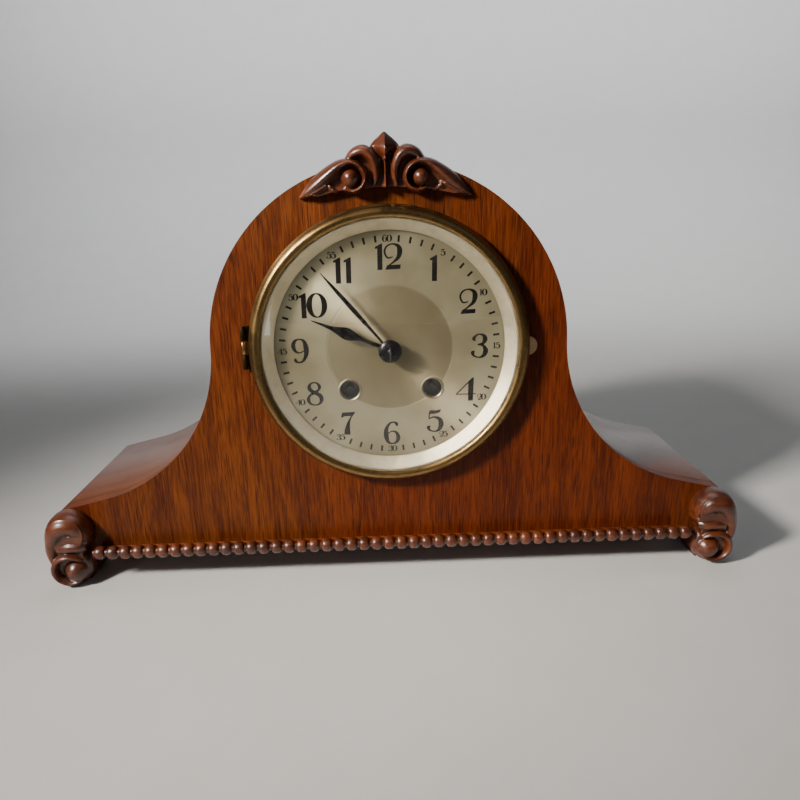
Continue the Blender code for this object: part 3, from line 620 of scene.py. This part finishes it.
DOME_RADIUS = 108.0
SHOULDER = (209.3, 155.2)
WING_END = 215.5
WING_SLOPE = 0.24
SKIN_THICK = 6.0


def tambour(inset, bottom, dome_steps=72, shoulder_steps=48):
    """The case's front outline, drawn in by inset: dome, concave shoulders, sloping wings."""
    across, up = SHOULDER[0], SHOULDER[1] - CENTRE.z
    tangent = math.atan2(up, across)
    shoulder = math.hypot(across, up) - DOME_RADIUS
    foot = math.pi + math.atan2(1.0, WING_SLOPE)
    right = arc((0.0, CENTRE.z), DOME_RADIUS - inset, math.pi / 2, tangent, dome_steps)
    right += arc(SHOULDER, shoulder + inset, math.pi + tangent, foot, shoulder_steps)[1:]
    x, z = right[-1]
    end = WING_END - inset
    right += [(end, z - WING_SLOPE * (end - x)), (end, bottom)]
    return flip(right)


def arch(half, centre_z, bottom, steps=40):
    """An outline with a half-round top."""
    return flip(arc((0.0, centre_z), half, math.pi / 2, 0.0, steps) + [(half, bottom)])


def front_board(finish):
    low, high = span("front_panel")
    hole = circle(74.5, 160, (0.0, CENTRE.z))
    board = pierced("front_board", tambour(0.0, low.z), [hole], low.y, high.y, 0.7, segments=3)
    fit(board, finish, "case", "front_panel", slot="oak_front")


def bent_top(finish):
    """The veneered top and ends. Its UV map runs along the bend, so that the grain follows it."""
    low, high = span("case_skin")
    outside, inside = tambour(0.0, low.z), tambour(SKIN_THICK, low.z)
    edge = 0.5
    rings, lengths, run = [], [], 0.0
    for i, (outer, inner) in enumerate(zip(outside, inside)):
        if i:
            run += math.dist(outer, outside[i - 1])
        lengths.append(run)
        out, into = Vector(outer), Vector(inner)
        skin = (into - out).normalized() * edge
        ring = []
        for corner, pull in ((out, skin), (into, -skin)):
            near = [(corner + pull, 0.0), (corner + pull * 0.3, edge * 0.3), (corner, edge)]
            depths = [(point, low.y + gap) for point, gap in near]
            depths += [(point, high.y - gap) for point, gap in reversed(near)]
            ring += depths if pull is skin else depths[::-1]
        rings.append([(point.x, depth, point.y) for point, depth in ring])
    made = piece("bent_veneer_top", loft(rings), angle=50.0)
    layer = made.data.uv_layers.new(name="UVMap")
    size = len(rings[0])
    for loop in made.data.loops:
        index = min(loop.vertex_index // size, len(lengths) - 1)
        y = made.data.vertices[loop.vertex_index].co.y
        layer.data[loop.index].uv = (lengths[index] * MM, y)
    fit(made, finish, "case", "case_skin", slot="oak_veneer")


def beads(finish):
    """Turned beads cut along a round strip, with a flat strip behind them."""
    low, high = span("bead_moulding")
    across, up = (low + high).x / 2, (low + high).z / 2
    count, centre = 48, (across, -7.6, up + 0.3)
    run = high.x - low.x
    pitch = run / count
    profile = []
    for number in range(count):
        start = low.x - across + number * pitch
        for share in (0.0, 0.06, 0.10, 0.12, 0.17, 0.25, 0.36, 0.5, 0.64, 0.75, 0.83, 0.88, 0.90, 0.94):
            u = (share - 0.5) / 0.40
            swell = math.sqrt(max(1 - abs(u) ** 2.4, 0.0))
            profile.append((2.4 + 2.0 * swell, start + share * pitch))
    profile.append((2.4, high.x - across))
    strip = box((low.x + 1, -5.5, up - 2.6), (high.x - 1, -0.3, up + 1.2), 0.4)
    made = piece("bead_moulding_turned", turned(profile, centre, "x", 28), strip, angle=60.0)
    fit(made, finish, "case", "bead_moulding", slot="carved_oak")


def crest(finish):
    """Acanthus crest: a ridged bud on a stem, and on each side a C-scroll, a volute and a leaf."""
    ground = [(0.0, 268.0), (9.5, 263.5), (17.0, 261.2), (24.5, 256.8), (44.0, 241.3)]
    ground += [(40.0, 238.6), (26.0, 241.6), (0.0, 243.6)]
    shapes = [slab(filleted(flip(ground), 2.0), -4.6, -0.3)]
    bud = [(0, 271.9, 1.4, 3.6), (0, 269.6, 6.6, 6.4), (0, 267.0, 12.6, 8.8), (0, 264.4, 16.0, 10.8)]
    bud += [(0, 262.0, 12.0, 11.4), (0, 259.8, 6.0, 10.8), (0, 257.6, 2.8, 9.2)]
    shapes.append(rib(bud, 1.1, side=1.4))
    shapes.append(rib([(0, 259, 2.6, 9.4), (0, 251, 2.2, 8.0), (0, 243, 4.4, 7.4)], 1.6))
    shapes.append(knob(0, 258.0, 1.7, 10.8))
    scroll = [(6.6, 243.6, 2.6, 5.6), (5.3, 248.0, 4.8, 8.0), (5.4, 253.5, 6.0, 9.6)]
    scroll += [(7.4, 258.6, 7.0, 10.8), (11.6, 261.8, 7.8, 11.2), (16.6, 260.8, 6.8, 9.8)]
    scroll += [(20.2, 257.6, 4.8, 7.6)]
    fillet = [(2.8, 244.0, 1.0, 4.0), (2.4, 251.0, 1.2, 5.4), (2.7, 257.5, 1.2, 6.4)]
    leaf = [(48.4, 238.1, 1.4, 2.4), (43.4, 241.2, 6.4, 5.6), (37.4, 245.5, 9.4, 8.0)]
    leaf += [(31.2, 250.4, 9.0, 9.8), (25.4, 254.6, 7.0, 11.0), (19.4, 256.2, 5.2, 11.6)]
    leaf += [(13.6, 253.8, 4.6, 11.6), (11.2, 248.6, 4.2, 10.6), (13.2, 243.7, 3.8, 9.4)]
    leaf += [(18.0, 241.3, 3.2, 8.2), (22.8, 242.6, 2.4, 7.2)]
    vein = [(44.6, 238.9, 1.2, 4.6), (38.6, 241.4, 2.8, 6.2), (32.6, 244.8, 2.6, 7.2)]
    nub = [(32.4, 247.2, 2.0, 4.6), (30.6, 243.6, 4.4, 6.6), (26.4, 241.4, 2.8, 4.2)]
    half = [rib(scroll), rib(fillet), rib(leaf, 1.6), rib(vein), rib(nub), knob(19.4, 248.4, 5.7, 11.2)]
    shapes += half + [mirror(shape) for shape in half]
    made = carved("carved_crest", shapes, 0.36)
    fit(made, finish, "case", "crest_carving", slot="carved_oak")


def scroll_foot(finish, word):
    """A carved scroll on the corner: a domed upper curl, a waist and a lower roll with an eye."""
    node = "scroll_foot_" + word
    curl = [(199.2, 33.0, 6.0, 10.0), (200.6, 37.8, 10.0, 13.2), (204.2, 42.2, 13.4, 15.6)]
    curl += [(208.8, 43.8, 14.8, 16.4), (213.6, 42.2, 15.0, 16.4), (217.0, 37.6, 13.6, 15.6)]
    curl += [(219.4, 31.6, 10.6, 14.0), (220.6, 25.4, 9.0, 13.4), (219.8, 19.0, 7.0, 13.2)]
    tongue = [(203.2, 34.4, 2.4, 12.0), (205.8, 37.2, 3.8, 13.6), (211.0, 37.6, 2.6, 13.0)]
    waist = [
        (198.2, 28.2, 6.8, 11.4), (202.0, 28.8, 8.6, 14.2),
        (208.4, 29.2, 9.0, 14.6), (216.4, 27.2, 7.8, 12.8),
    ]
    ring = [(202.0, 19.4, 2.6, 12.6), (206.4, 22.0, 4.2, 14.4), (212.2, 22.4, 4.8, 15.0)]
    ring += [(217.8, 19.4, 5.0, 15.0), (220.2, 13.6, 5.0, 15.0), (218.2, 7.4, 4.8, 14.8)]
    ring += [(212.8, 3.8, 4.4, 14.4), (206.8, 4.2, 3.6, 13.6), (202.8, 7.6, 2.2, 12.4)]
    roll = [
        (0.0, -9.4), (9.6, -9.4), (11.8, -8.8), (12.9, -6.8), (13.2, -3.6), (13.2, -0.6), (0.0, -0.6)
    ]
    shapes = [
        rib(curl, 2.0, 5.0), rib(tongue), rib(waist, 2.4, 4.0),
        rib(ring, 2.0, 8.0), knob(199.4, 32.0, 3.8, 11.2),
    ]
    shapes += [turned(roll, (210.6, 0.0, 13.2), steps=48), knob(207.0, 11.4, 8.6, 15.8, 3.0)]
    shapes.append(slab(circle(11.4, 40, (209.4, 38.4)), -12.8, -0.6))
    shapes.append(box((201.0, -10.6, 20.0), (220.0, -0.6, 40.0), 3.0))
    shapes.append(box((202.0, -2.0, 0.6), (214.8, 23.6, 20.0), 1.0))
    if word == "left":
        shapes = [mirror(shape) for shape in shapes]
    made = carved("carved_" + node, shapes, 0.42)
    lowest = min(vertex.co.z for vertex in made.data.vertices)
    made.data.transform(Matrix.Translation((0.0, 0.0, -lowest)))
    fit(made, finish, "case", node, slot="carved_oak")


def rear_foot(finish, word):
    node = "rear_foot_" + word
    low, high = span(node)
    made = piece(node + "_block", box(low, high), bevel=1.0)
    fit(made, finish, "case", node, slot="plain_wood")


def screw(place, radius=1.7, proud=0.25, turn=0.6):
    """A countersunk screw head with a slot, seen from behind, on the face at place."""
    head = [(0.0, proud), (radius * 0.72, proud), (radius, 0.0), (radius, -0.4), (0.0, -0.4)]
    made = piece("screw_head", turned(head, place, steps=32))
    x, depth, z = place
    c, s = math.cos(turn), math.sin(turn)
    corners = [(a * radius * 1.3 * c - b * 0.22 * s, a * radius * 1.3 * s + b * 0.22 * c)
               for a, b in ((-1, -1), (1, -1), (1, 1), (-1, 1))]
    slot = slab(
        [(x + across, z + up) for across, up in corners], depth + proud - 0.3, depth + proud + 0.5
    )
    cutter = piece("screw_slot", slot)
    modifier = made.modifiers.new("slot", "BOOLEAN")
    modifier.object = cutter
    settle(made)
    bpy.data.objects.remove(cutter)
    made.data.set_sharp_from_angle(angle=math.radians(35.0))
    return made


def knuckle(axis, low, high, radius=1.5):
    """A hinge barrel between two heights, with eased ends."""
    middle_z = (low + high) / 2
    half = (high - low) / 2 - 0.1
    profile = [(0.0, half), (radius - 0.3, half), (radius, half - 0.3), (radius, 0.3 - half)]
    profile += [(radius - 0.3, -half), (0.0, -half)]
    return turned(profile, (*axis, middle_z), "z", 28)


def thirds(low, high):
    third = (high - low) / 3
    return [(low + third + 0.3, high - third - 0.3)], [(low, low + third), (high - third, high)]


def bezel_hinge(brass, dark):
    """The hinge at the bezel's left: a plate on the case whose knuckles are coloured near black as painted
    shade, and a leaf under the bezel.
    """
    low, high = span("bezel_hinge_plate")
    axis = (low.x + 1.5, low.y + 1.5)
    moving, fixed = thirds(low.z, high.z)
    tongues = [
        box((axis[0] + 0.2, axis[1] + 0.4, a + 0.2), (axis[0] + 3.0, -0.4, b - 0.2)) for a, b in fixed
    ]
    plate = box((axis[0] + 1.5, -1.0, low.z + 0.2), (-80.6, -0.3, high.z - 0.2), 0.5)
    made = piece(
        "bezel_hinge_case_plate", plate, *tongues, *[knuckle(axis, a, b) for a, b in fixed], angle=50.0
    )
    # The case plate and its knuckles take the near-black finish, which is painted shade.
    fit(made, dark, "case", "bezel_hinge_plate", slot="case_brass")
    (a, b), = moving
    leaf = box((axis[0] + 0.4, -2.0, a + 0.2), (-79.6, -1.3, b - 0.2), 0.4)
    made = piece("bezel_hinge_moving_leaf", leaf, knuckle(axis, a, b), angle=50.0)
    fit(made, brass, "bezel_frame", "bezel_hinge_leaf", slot="case_brass")


def finger_tab(finish):
    """The half-round tab with a rolled edge."""
    low, high = span("finger_tab")
    centre_z, edge_x = (low.z + high.z) / 2, high.x - 5.9
    outline = [(low.x, centre_z - 4.0), (edge_x, centre_z - 5.9)]
    outline += arc((edge_x, centre_z), 5.9, -math.pi / 2, math.pi / 2, 32)[1:]
    outline += [(low.x, centre_z + 4.0)]
    made = piece("finger_tab_rounded", slab(outline, low.y, high.y), bevel=0.3, segments=3)
    fit(made, finish, "bezel_frame", "finger_tab", slot="case_brass")


def back(plain, brass, steel):
    """Back board, door and button, and the screws that hold the door's hinge leaves and the button."""
    low, high = span("back_board")
    opening = arch(64.0, 140.0, 52.0)
    outline = tambour(SKIN_THICK + 0.3, low.z)
    made = pierced("back_board_veneered", outline, [opening], low.y, high.y, 0.5)
    fit(made, plain, "case", "back_board", slot="plain_wood")
    low, high = span("back_door")
    made = pierced("back_door_panel", arch(70.0, 140.0, low.z), [], low.y, high.y, 0.9, segments=3)
    fit(made, plain, "door", "back_door", slot="plain_wood")
    frame_low, frame_high = span("door_hinge_frame_leaf")
    door_low, _ = span("door_hinge_door_leaf")
    for number in range(3):
        height = frame_low.z + 7.5 + 15.0 * number
        made = screw((frame_high.x - 6.5, frame_low.y + 0.8, height), turn=0.5 + number)
        made.name = "frame_leaf_screw_" + str(number + 1)
        fit(made, brass, "case")
        made = screw((door_low.x + 4.5, door_low.y + 0.8, height), 1.3, turn=1.1 + number)
        made.name = "door_leaf_screw_" + str(number + 1)
        fit(made, brass, "door")
    low, high = span("door_button")
    x, z = (low.x + high.x) / 2, (low.z + high.z) / 2
    half = (high.z - low.z) / 2
    bar = [
        (0.0, half), (2.4, half - 1.2), (3.3, 4.0), (3.5, 0.0), (3.3, -4.0), (2.4, 1.2 - half), (0.0, -half)
    ]
    outline = [(x + a, z + b) for a, b in smooth(bar + [(-a, b) for a, b in bar[-2:0:-1]], 5, True)]
    stem = turned(
        [(0.0, high.y - 2.0), (2.0, high.y - 2.0), (2.0, low.y), (0.0, low.y)], (x, 0.0, z), steps=32
    )
    made = piece("door_button_shaped", slab(outline, high.y - 2.9, high.y), stem, bevel=0.35)
    fit(made, brass, "button", "door_button", slot="case_brass")
    made = screw((x, high.y, z), 1.8, turn=0.9)
    made.name = "door_button_screw"
    fit(made, steel, "button")


# Bezel, dial and hands -----------------------------------------------------------------------


def ring_profile(points, radius):
    return filleted([(r, -proud) for r, proud in points], radius)


def bezel(finish, bright, glass):
    """Pressed brass bezel with a rounded shoulder, the domed glass and the bright inner ring."""
    centre = (CENTRE.x, 0.0, CENTRE.z)
    section = [(84.4, 2.2), (84.4, 3.9), (83.6, 4.7), (83.3, 5.0), (82.8, 7.3), (80.8, 8.9), (78.6, 8.9)]
    section += [(77.2, 8.0), (77.0, 7.0), (80.6, 7.0), (80.6, 2.2)]
    made = piece("bezel_turned", turned(ring_profile(section, 0.9), centre, steps=220, ring=True))
    fit(made, finish, "bezel_frame", "bezel", slot="case_brass")
    low, high = span("glass")
    rise, radius = 12.0, 76.6
    sphere = (radius**2 + rise**2) / (2 * rise)
    seat = -low.y - rise
    outer = [
        (radius * i / 32, sphere - rise - seat - math.sqrt(sphere**2 - (radius * i / 32) ** 2))
        for i in range(33)
    ]
    inner = [(r, depth + 1.5) for r, depth in outer]
    rim = [(80.3, -seat), (80.3, 1.5 - seat)]
    made = piece("domed_glass", turned(outer + rim + inner[::-1], centre, steps=180))
    made.visible_shadow = False
    fit(made, glass, "bezel_frame", "glass", slot="clear_glass")
    section = [
        (80.3, 4.9), (80.3, 4.1), (77.2, 4.1), (70.6, -1.4), (69.8, -1.4), (69.8, -0.7), (71.2, 0.6)
    ]
    section += [(76.2, 4.9)]
    made = piece("sight_ring_turned", turned(ring_profile(section, 0.35), centre, steps=220, ring=True))
    fit(made, bright, "bezel_frame", "sight_ring", slot="bright_ring")


def dial_plate(finish):
    """The silvered plate, with its centre disc let in and holes for the arbors."""
    low, high = span("dial_plate")
    centre = (CENTRE.x, 0.0, CENTRE.z)
    front, disc = low.y, DISC_RADIUS
    profile = [
        (0.0, front + 0.12), (disc - 0.5, front + 0.12), (disc, front + 0.2), (disc + 0.35, front)
    ]
    profile += [(DIAL_RADIUS, front), (DIAL_RADIUS, high.y), (0.0, high.y)]
    made = piece("dial_plate_silvered", turned(profile, centre, steps=256), angle=20.0)
    for spot, radius in ((middle("eyelet_left"), 6.9), (middle("eyelet_right"), 6.9), (CENTRE, 3.6)):
        cutter = piece(
            "hole",
            turned([(0, -5.0), (radius, -5.0), (radius, 9.0), (0, 9.0)], (spot.x, 0.0, spot.z), steps=64),
        )
        modifier = made.modifiers.new("hole", "BOOLEAN")
        modifier.object = cutter
        settle(made)
        bpy.data.objects.remove(cutter)
    made.data.set_sharp_from_angle(angle=math.radians(20.0))
    fit(made, finish, "case", "dial_plate", slot="silvered")


# Each figure is a list of strokes on a unit height: a pen line of (x, z, width), or a cut outline of (x, z).
FIGURES = {
    "0": [("loop", [(0.30 * math.cos(t * math.pi / 6), 0.5 + 0.465 * math.sin(t * math.pi / 6),
                     0.035 + 0.15 * abs(math.cos(t * math.pi / 6)) ** 1.5) for t in range(12)])],
    "1": [("cut", [(-0.10, 0.0), (0.10, 0.0), (0.115, 1.0), (0.07, 1.0),
                   (-0.17, 0.88), (-0.17, 0.80), (-0.085, 0.82)])],
    "2": [("pen", [(0.0, 0.485, 0.03), (-0.20, 0.46, 0.05), (-0.31, 0.68, 0.06), (-0.22, 0.89, 0.05),
                   (0.0, 0.975, 0.04), (0.21, 0.90, 0.11), (0.28, 0.72, 0.17), (0.22, 0.47, 0.12),
                   (0.03, 0.29, 0.055), (-0.20, 0.13, 0.035)]),
          ("cut", [(-0.30, 0.0), (0.29, 0.02), (0.31, 0.19), (-0.22, 0.175)])],
    "3": [("pen", [(-0.17, 0.72, 0.04), (-0.24, 0.80, 0.11), (-0.14, 0.93, 0.06), (0.0, 0.98, 0.04),
                   (0.17, 0.91, 0.11), (0.22, 0.76, 0.16), (0.13, 0.60, 0.09), (-0.08, 0.555, 0.035)]),
          ("pen", [(-0.08, 0.555, 0.035), (0.15, 0.50, 0.08), (0.25, 0.29, 0.17), (0.16, 0.09, 0.11),
                   (-0.02, 0.02, 0.04), (-0.22, 0.09, 0.06), (-0.28, 0.22, 0.12), (-0.20, 0.28, 0.04)])],
    "4": [("cut", [(0.04, 0.0), (0.24, 0.0), (0.27, 1.0), (0.23, 1.0), (0.04, 0.80)]),
          ("pen", [(0.22, 0.97, 0.04), (-0.12, 0.63, 0.035), (-0.46, 0.29, 0.035)]),
          ("cut", [(-0.48, 0.27), (0.38, 0.27), (0.38, 0.31), (-0.46, 0.31)])],
    "5": [("cut", [(-0.25, 0.80), (-0.01, 0.80), (0.19, 0.86), (0.25, 1.0), (0.02, 0.95), (-0.23, 0.97)]),
          ("pen", [(-0.235, 0.90, 0.04), (-0.27, 0.60, 0.035)]),
          ("pen", [(-0.27, 0.58, 0.035), (-0.06, 0.66, 0.05), (0.18, 0.56, 0.13), (0.24, 0.34, 0.18),
                   (0.15, 0.10, 0.10), (-0.03, 0.02, 0.04), (-0.23, 0.08, 0.06),
                   (-0.29, 0.20, 0.12), (-0.21, 0.26, 0.04)])],
    "6": [("pen", [(0.20, 0.80, 0.05), (0.19, 0.90, 0.10), (0.08, 0.975, 0.05), (-0.10, 0.92, 0.07),
                   (-0.24, 0.68, 0.13), (-0.26, 0.38, 0.17), (-0.18, 0.10, 0.10), (0.0, 0.02, 0.04),
                   (0.18, 0.10, 0.10), (0.25, 0.30, 0.14), (0.17, 0.51, 0.09),
                   (0.0, 0.575, 0.035), (-0.19, 0.48, 0.03)])],
    "7": [("cut", [(-0.30, 0.80), (-0.25, 0.98), (0.31, 1.0),
                   (0.20, 0.83), (-0.18, 0.81), (-0.26, 0.74)]),
          ("pen", [(0.27, 0.98, 0.04), (0.11, 0.76, 0.045), (0.0, 0.50, 0.10),
                   (-0.06, 0.22, 0.18), (-0.07, 0.0, 0.22)])],
    "8": [("loop", [(0.0, 0.55, 0.10), (0.16, 0.66, 0.07), (0.21, 0.80, 0.11),
                    (0.13, 0.94, 0.06), (0.0, 0.98, 0.04),
                    (-0.13, 0.94, 0.06), (-0.21, 0.80, 0.12), (-0.15, 0.65, 0.13),
                    (0.04, 0.53, 0.12), (0.21, 0.42, 0.14),
                    (0.27, 0.25, 0.13), (0.18, 0.07, 0.07), (0.0, 0.02, 0.04), (-0.18, 0.07, 0.07),
                    (-0.27, 0.25, 0.12), (-0.19, 0.44, 0.07)])],
}
FIGURES["9"] = [(kind, [(-x, 1.0 - z, *rest) for x, z, *rest in line]) for kind, line in FIGURES["6"]]
ADVANCE = {"1": 0.44, "0": 0.70, "2": 0.66}


def pen_stroke(line, scale, origin, front, back, closed, weight):
    """A flat stroke of changing width."""
    path = smooth(line, 6, closed)
    rings, count = [], len(path)
    for i, (x, z, width) in enumerate(path):
        before = path[i - 1 if closed or i else 0]
        after = path[(i + 1) % count if closed else min(i + 1, count - 1)]
        dx, dz = after[0] - before[0], after[1] - before[1]
        length = math.hypot(dx, dz)
        half = (width * weight + 0.012) / 2
        ox, oz = -dz / length * half, dx / length * half
        sides = [(origin[0] + scale * (x + s * ox), origin[1] + scale * (z + s * oz)) for s in (1, -1)]
        rings.append([(*side[:1], depth, side[1]) for side, depth in
                      ((sides[0], front), (sides[1], front), (sides[1], back), (sides[0], back))])
    return loft(rings, closed)


def figures(text, x, z, height, front, back, tight=1.0, weight=1.15):
    """A number centred on (x, z)."""
    widths = [ADVANCE.get(figure, 0.68) * tight for figure in text]
    start = -sum(widths) / 2
    shapes = []
    for figure, width in zip(text, widths):
        origin = (x + (start + width / 2) * height, z - height / 2)
        start += width
        for kind, line in FIGURES[figure]:
            if kind == "cut":
                outline = [(origin[0] + px * height, origin[1] + pz * height) for px, pz in line]
                shapes.append(slab(outline, front, back))
            else:
                shapes.append(pen_stroke(line, height, origin, front, back, kind == "loop", weight))
    return shapes


def printed(finish):
    """Hour figures, minute bars and the small figures at every fifth minute."""
    front, back = DIAL_FACE - 0.05, DIAL_FACE + 0.02
    hours, minutes, small = [], [], []
    for hour in range(1, 13):
        turn = math.radians(90 - 30 * hour)
        x, z = CENTRE.x + math.cos(turn) * 54.6, CENTRE.z + math.sin(turn) * 54.6
        x += {10: 1.6, 11: 1.2}.get(hour, 0.0)
        hours += figures(str(hour), x, z, 15.0, front, back, 0.92 if hour > 9 else 1.0)
        x, z = CENTRE.x + math.cos(turn) * 65.0, CENTRE.z + math.sin(turn) * 65.0
        small += figures(str(5 * hour), x, z, 3.9, front, back, weight=1.5)
    for minute in range(60):
        if minute % 5 == 0:
            continue
        turn = math.radians(6 * minute)
        sides = [(-0.65, 63.1), (0.65, 63.1), (0.65, 66.9), (-0.65, 66.9)]
        outline = [(CENTRE.x + x * math.cos(turn) + z * math.sin(turn),
                    CENTRE.z - x * math.sin(turn) + z * math.cos(turn)) for x, z in sides]
        minutes.append(slab(outline, front, back))
    for name, shapes in (("hour_figures", hours), ("minute_bars", minutes), ("minute_figures", small)):
        fit(piece(name, *shapes), finish, "case", slot="black_hands")


def hand(name, node, body, line, angle, hub, hole, finish):
    """A leaf hand with a soft ridge. Line: (distance from the centre, width)."""
    low, high = span(node)
    c, s = math.cos(angle), math.sin(angle)
    thick = high.y - low.y
    points = [(CENTRE.x - s * r, CENTRE.z + c * r, width, thick) for r, width in line]
    blade = rib(points, 1.2, thick * 0.45, 0.0, 8, 10)
    lowered = [(x, depth + high.y, z) for x, depth, z in blade[0]], blade[1]
    section = filleted([(hub, high.y), (hub, low.y), (hole, low.y), (hole, high.y)], 0.2)
    made = piece(
        name, lowered, turned(section, (CENTRE.x, 0.0, CENTRE.z), steps=64, ring=True), angle=60.0
    )
    fit(made, finish, body, node, slot="black_hands")


def hands(finish, steel):
    hour = [
        (5.0, 2.4), (13.0, 2.2), (19.0, 2.6), (22.5, 4.8),
        (26.0, 7.0), (29.5, 6.8), (33.0, 4.6), (37.0, 2.6),
    ]
    hour += [(42.0, 1.6), (46.0, 1.0), (50.0, 0.3)]
    minute = [(4.0, 1.4), (14.0, 1.6), (24.0, 2.4), (34.0, 2.7), (46.0, 2.2), (55.0, 1.2), (61.0, 0.3)]
    hand("hour_hand_leaf", "hour_hand", "hour_pipe", hour, math.radians(67.5), 6.2, 3.2, finish)
    hand("minute_hand_leaf", "minute_hand", "minute_arbor", minute, math.radians(39.7), 5.0, 2.2, finish)
    low, high = span("hand_nut")
    top, base = low.y, high.y
    cap = [
        (0.0, top + 0.1), (1.5, top + 0.1), (1.8, top + 0.5),
        (3.2, top + 0.8), (5.2, top + 1.3), (6.6, top + 2.2),
    ]
    cap += [(7.0, top + 3.0), (7.0, base), (0.0, base)]
    made = piece(
        "hand_boss", turned(filleted(cap, 0.5, closed=False), (CENTRE.x, 0.0, CENTRE.z), steps=72)
    )
    fit(made, finish, "minute_arbor", "hand_nut", slot="black_hands")
    tip = [(0.0, top - 0.9), (0.75, top - 0.85), (0.95, top - 0.6), (0.95, top + 0.3), (0.0, top + 0.3)]
    pin = [(0.0, -5.4), (0.34, -5.4), (0.46, 3.2), (0.0, 3.2)]
    across = (CENTRE.x, top - 0.3, CENTRE.z)
    nub = piece(
        "arbor_tip_and_pin",
        turned(tip, (CENTRE.x, 0.0, CENTRE.z), steps=24),
        turned(pin, across, "z", 16),
    )
    fit(nub, steel, "minute_arbor", slot="steel")


def eyelets(finish):
    for word in ("left", "right"):
        node = "eyelet_" + word
        low, high = span(node)
        centre = middle(node)
        outer = (high.x - low.x) / 2
        section = [
            (outer - 0.5, high.y - 1.6), (outer - 0.7, low.y + 0.2),
            (outer - 1.2, low.y), (outer - 1.9, low.y + 0.6),
        ]
        section += [(outer - 1.9, high.y), (outer - 1.2, high.y), (outer - 1.2, high.y - 1.6)]
        made = piece(
            node + "_rolled",
            turned(filleted(section, 0.25), (centre.x, 0.0, centre.z), steps=72, ring=True),
        )
        fit(made, finish, "case", node, slot="bright_ring")


# Putting it together -------------------------------------------------------------------------


def dress_frame(finishes):
    """Gives every CAD node that stays in view the finish of its material slot."""
    slots = {part["node"]: part["material_slot"] for part in frame["record"]["subparts"]}
    for name, node in frame["nodes"].items():
        if node.hide_render:
            continue
        finish = finishes[slots[name]]
        for place in node.material_slots:
            place.material = finish
        if not node.material_slots:
            node.data.materials.append(finish)


def main():
    make_camera()
    make_surroundings()
    oak = wood("oak_front", (0.150, 0.0365, 0.0042), (0.047, 0.0080, 0.0012), (0.018, 0.0031, 0.0005),
               (1.0, 1.0, 0.060), 0.38, 0.10, 0.6)
    veneer = wood("oak_veneer", (0.13, 0.040, 0.010), (0.060, 0.014, 0.004), (0.03, 0.008, 0.003),
                  (0.05, 1.0, 1.0), 0.26, 0.5, 0.4, "UV", 0.05)
    plain = wood("plain_wood", (0.19, 0.09, 0.038), (0.10, 0.042, 0.016), (0.05, 0.02, 0.008),
                 (1.0, 1.0, 0.08), 0.5, 0.05, 0.4)
    finishes = {
        "oak_front": oak,
        "oak_veneer": veneer,
        "carved_oak": carved_wood("carved_oak", (0.125, 0.028, 0.006), (0.040, 0.008, 0.002)),
        "plain_wood": plain,
        "case_brass": metal("case_brass", (0.29, 0.180, 0.068), (0.105, 0.060, 0.020), 0.22),
        "bright_ring": metal("bright_ring", (0.62, 0.55, 0.40), (0.40, 0.33, 0.20), 0.34, 0.4),
        "silvered": silvered_dial(),
        "clear_glass": window_glass(),
        "black_hands": lacquer("black_hands", (0.003, 0.0025, 0.003), 0.26),
        "plate_brass": metal("plate_brass", (0.36, 0.26, 0.10), (0.16, 0.10, 0.035), 0.34, 0.6),
        # Dark oily steel, kept this dark partly as painted shade for the works seen deep in the winding holes.
        "steel": metal("steel", (0.13, 0.12, 0.11), (0.05, 0.042, 0.035), 0.30, 0.5),
        "gong_iron": cast_iron(),
    }
    front_board(oak)
    bent_top(veneer)
    beads(finishes["carved_oak"])
    crest(finishes["carved_oak"])
    for word in ("left", "right"):
        scroll_foot(finishes["carved_oak"], word)
        rear_foot(plain, word)
    back(plain, finishes["case_brass"], finishes["steel"])
    # The second finish is brass darkened almost to black, painted shade for the hinge's case-side knuckles.
    bezel_hinge(
        finishes["case_brass"], metal("brass_painted_shade", (0.030, 0.018, 0.008), (0.010, 0.006, 0.003), 0.5)
    )
    # The finger tab's brass is a paler copy of the case brass: a painted highlight.
    finger_tab(metal("brass_painted_highlight", (0.62, 0.40, 0.24), (0.40, 0.24, 0.12), 0.34))
    bezel(finishes["case_brass"], finishes["bright_ring"], finishes["clear_glass"])
    dial_plate(finishes["silvered"])
    printed(lacquer("printed_black", (0.003, 0.0022, 0.0018), 0.7, 0.08))
    hands(finishes["black_hands"], finishes["steel"])
    eyelets(metal("eyelet_brass", (0.42, 0.36, 0.24), (0.20, 0.16, 0.09), 0.22))
    dress_frame(finishes)


main()
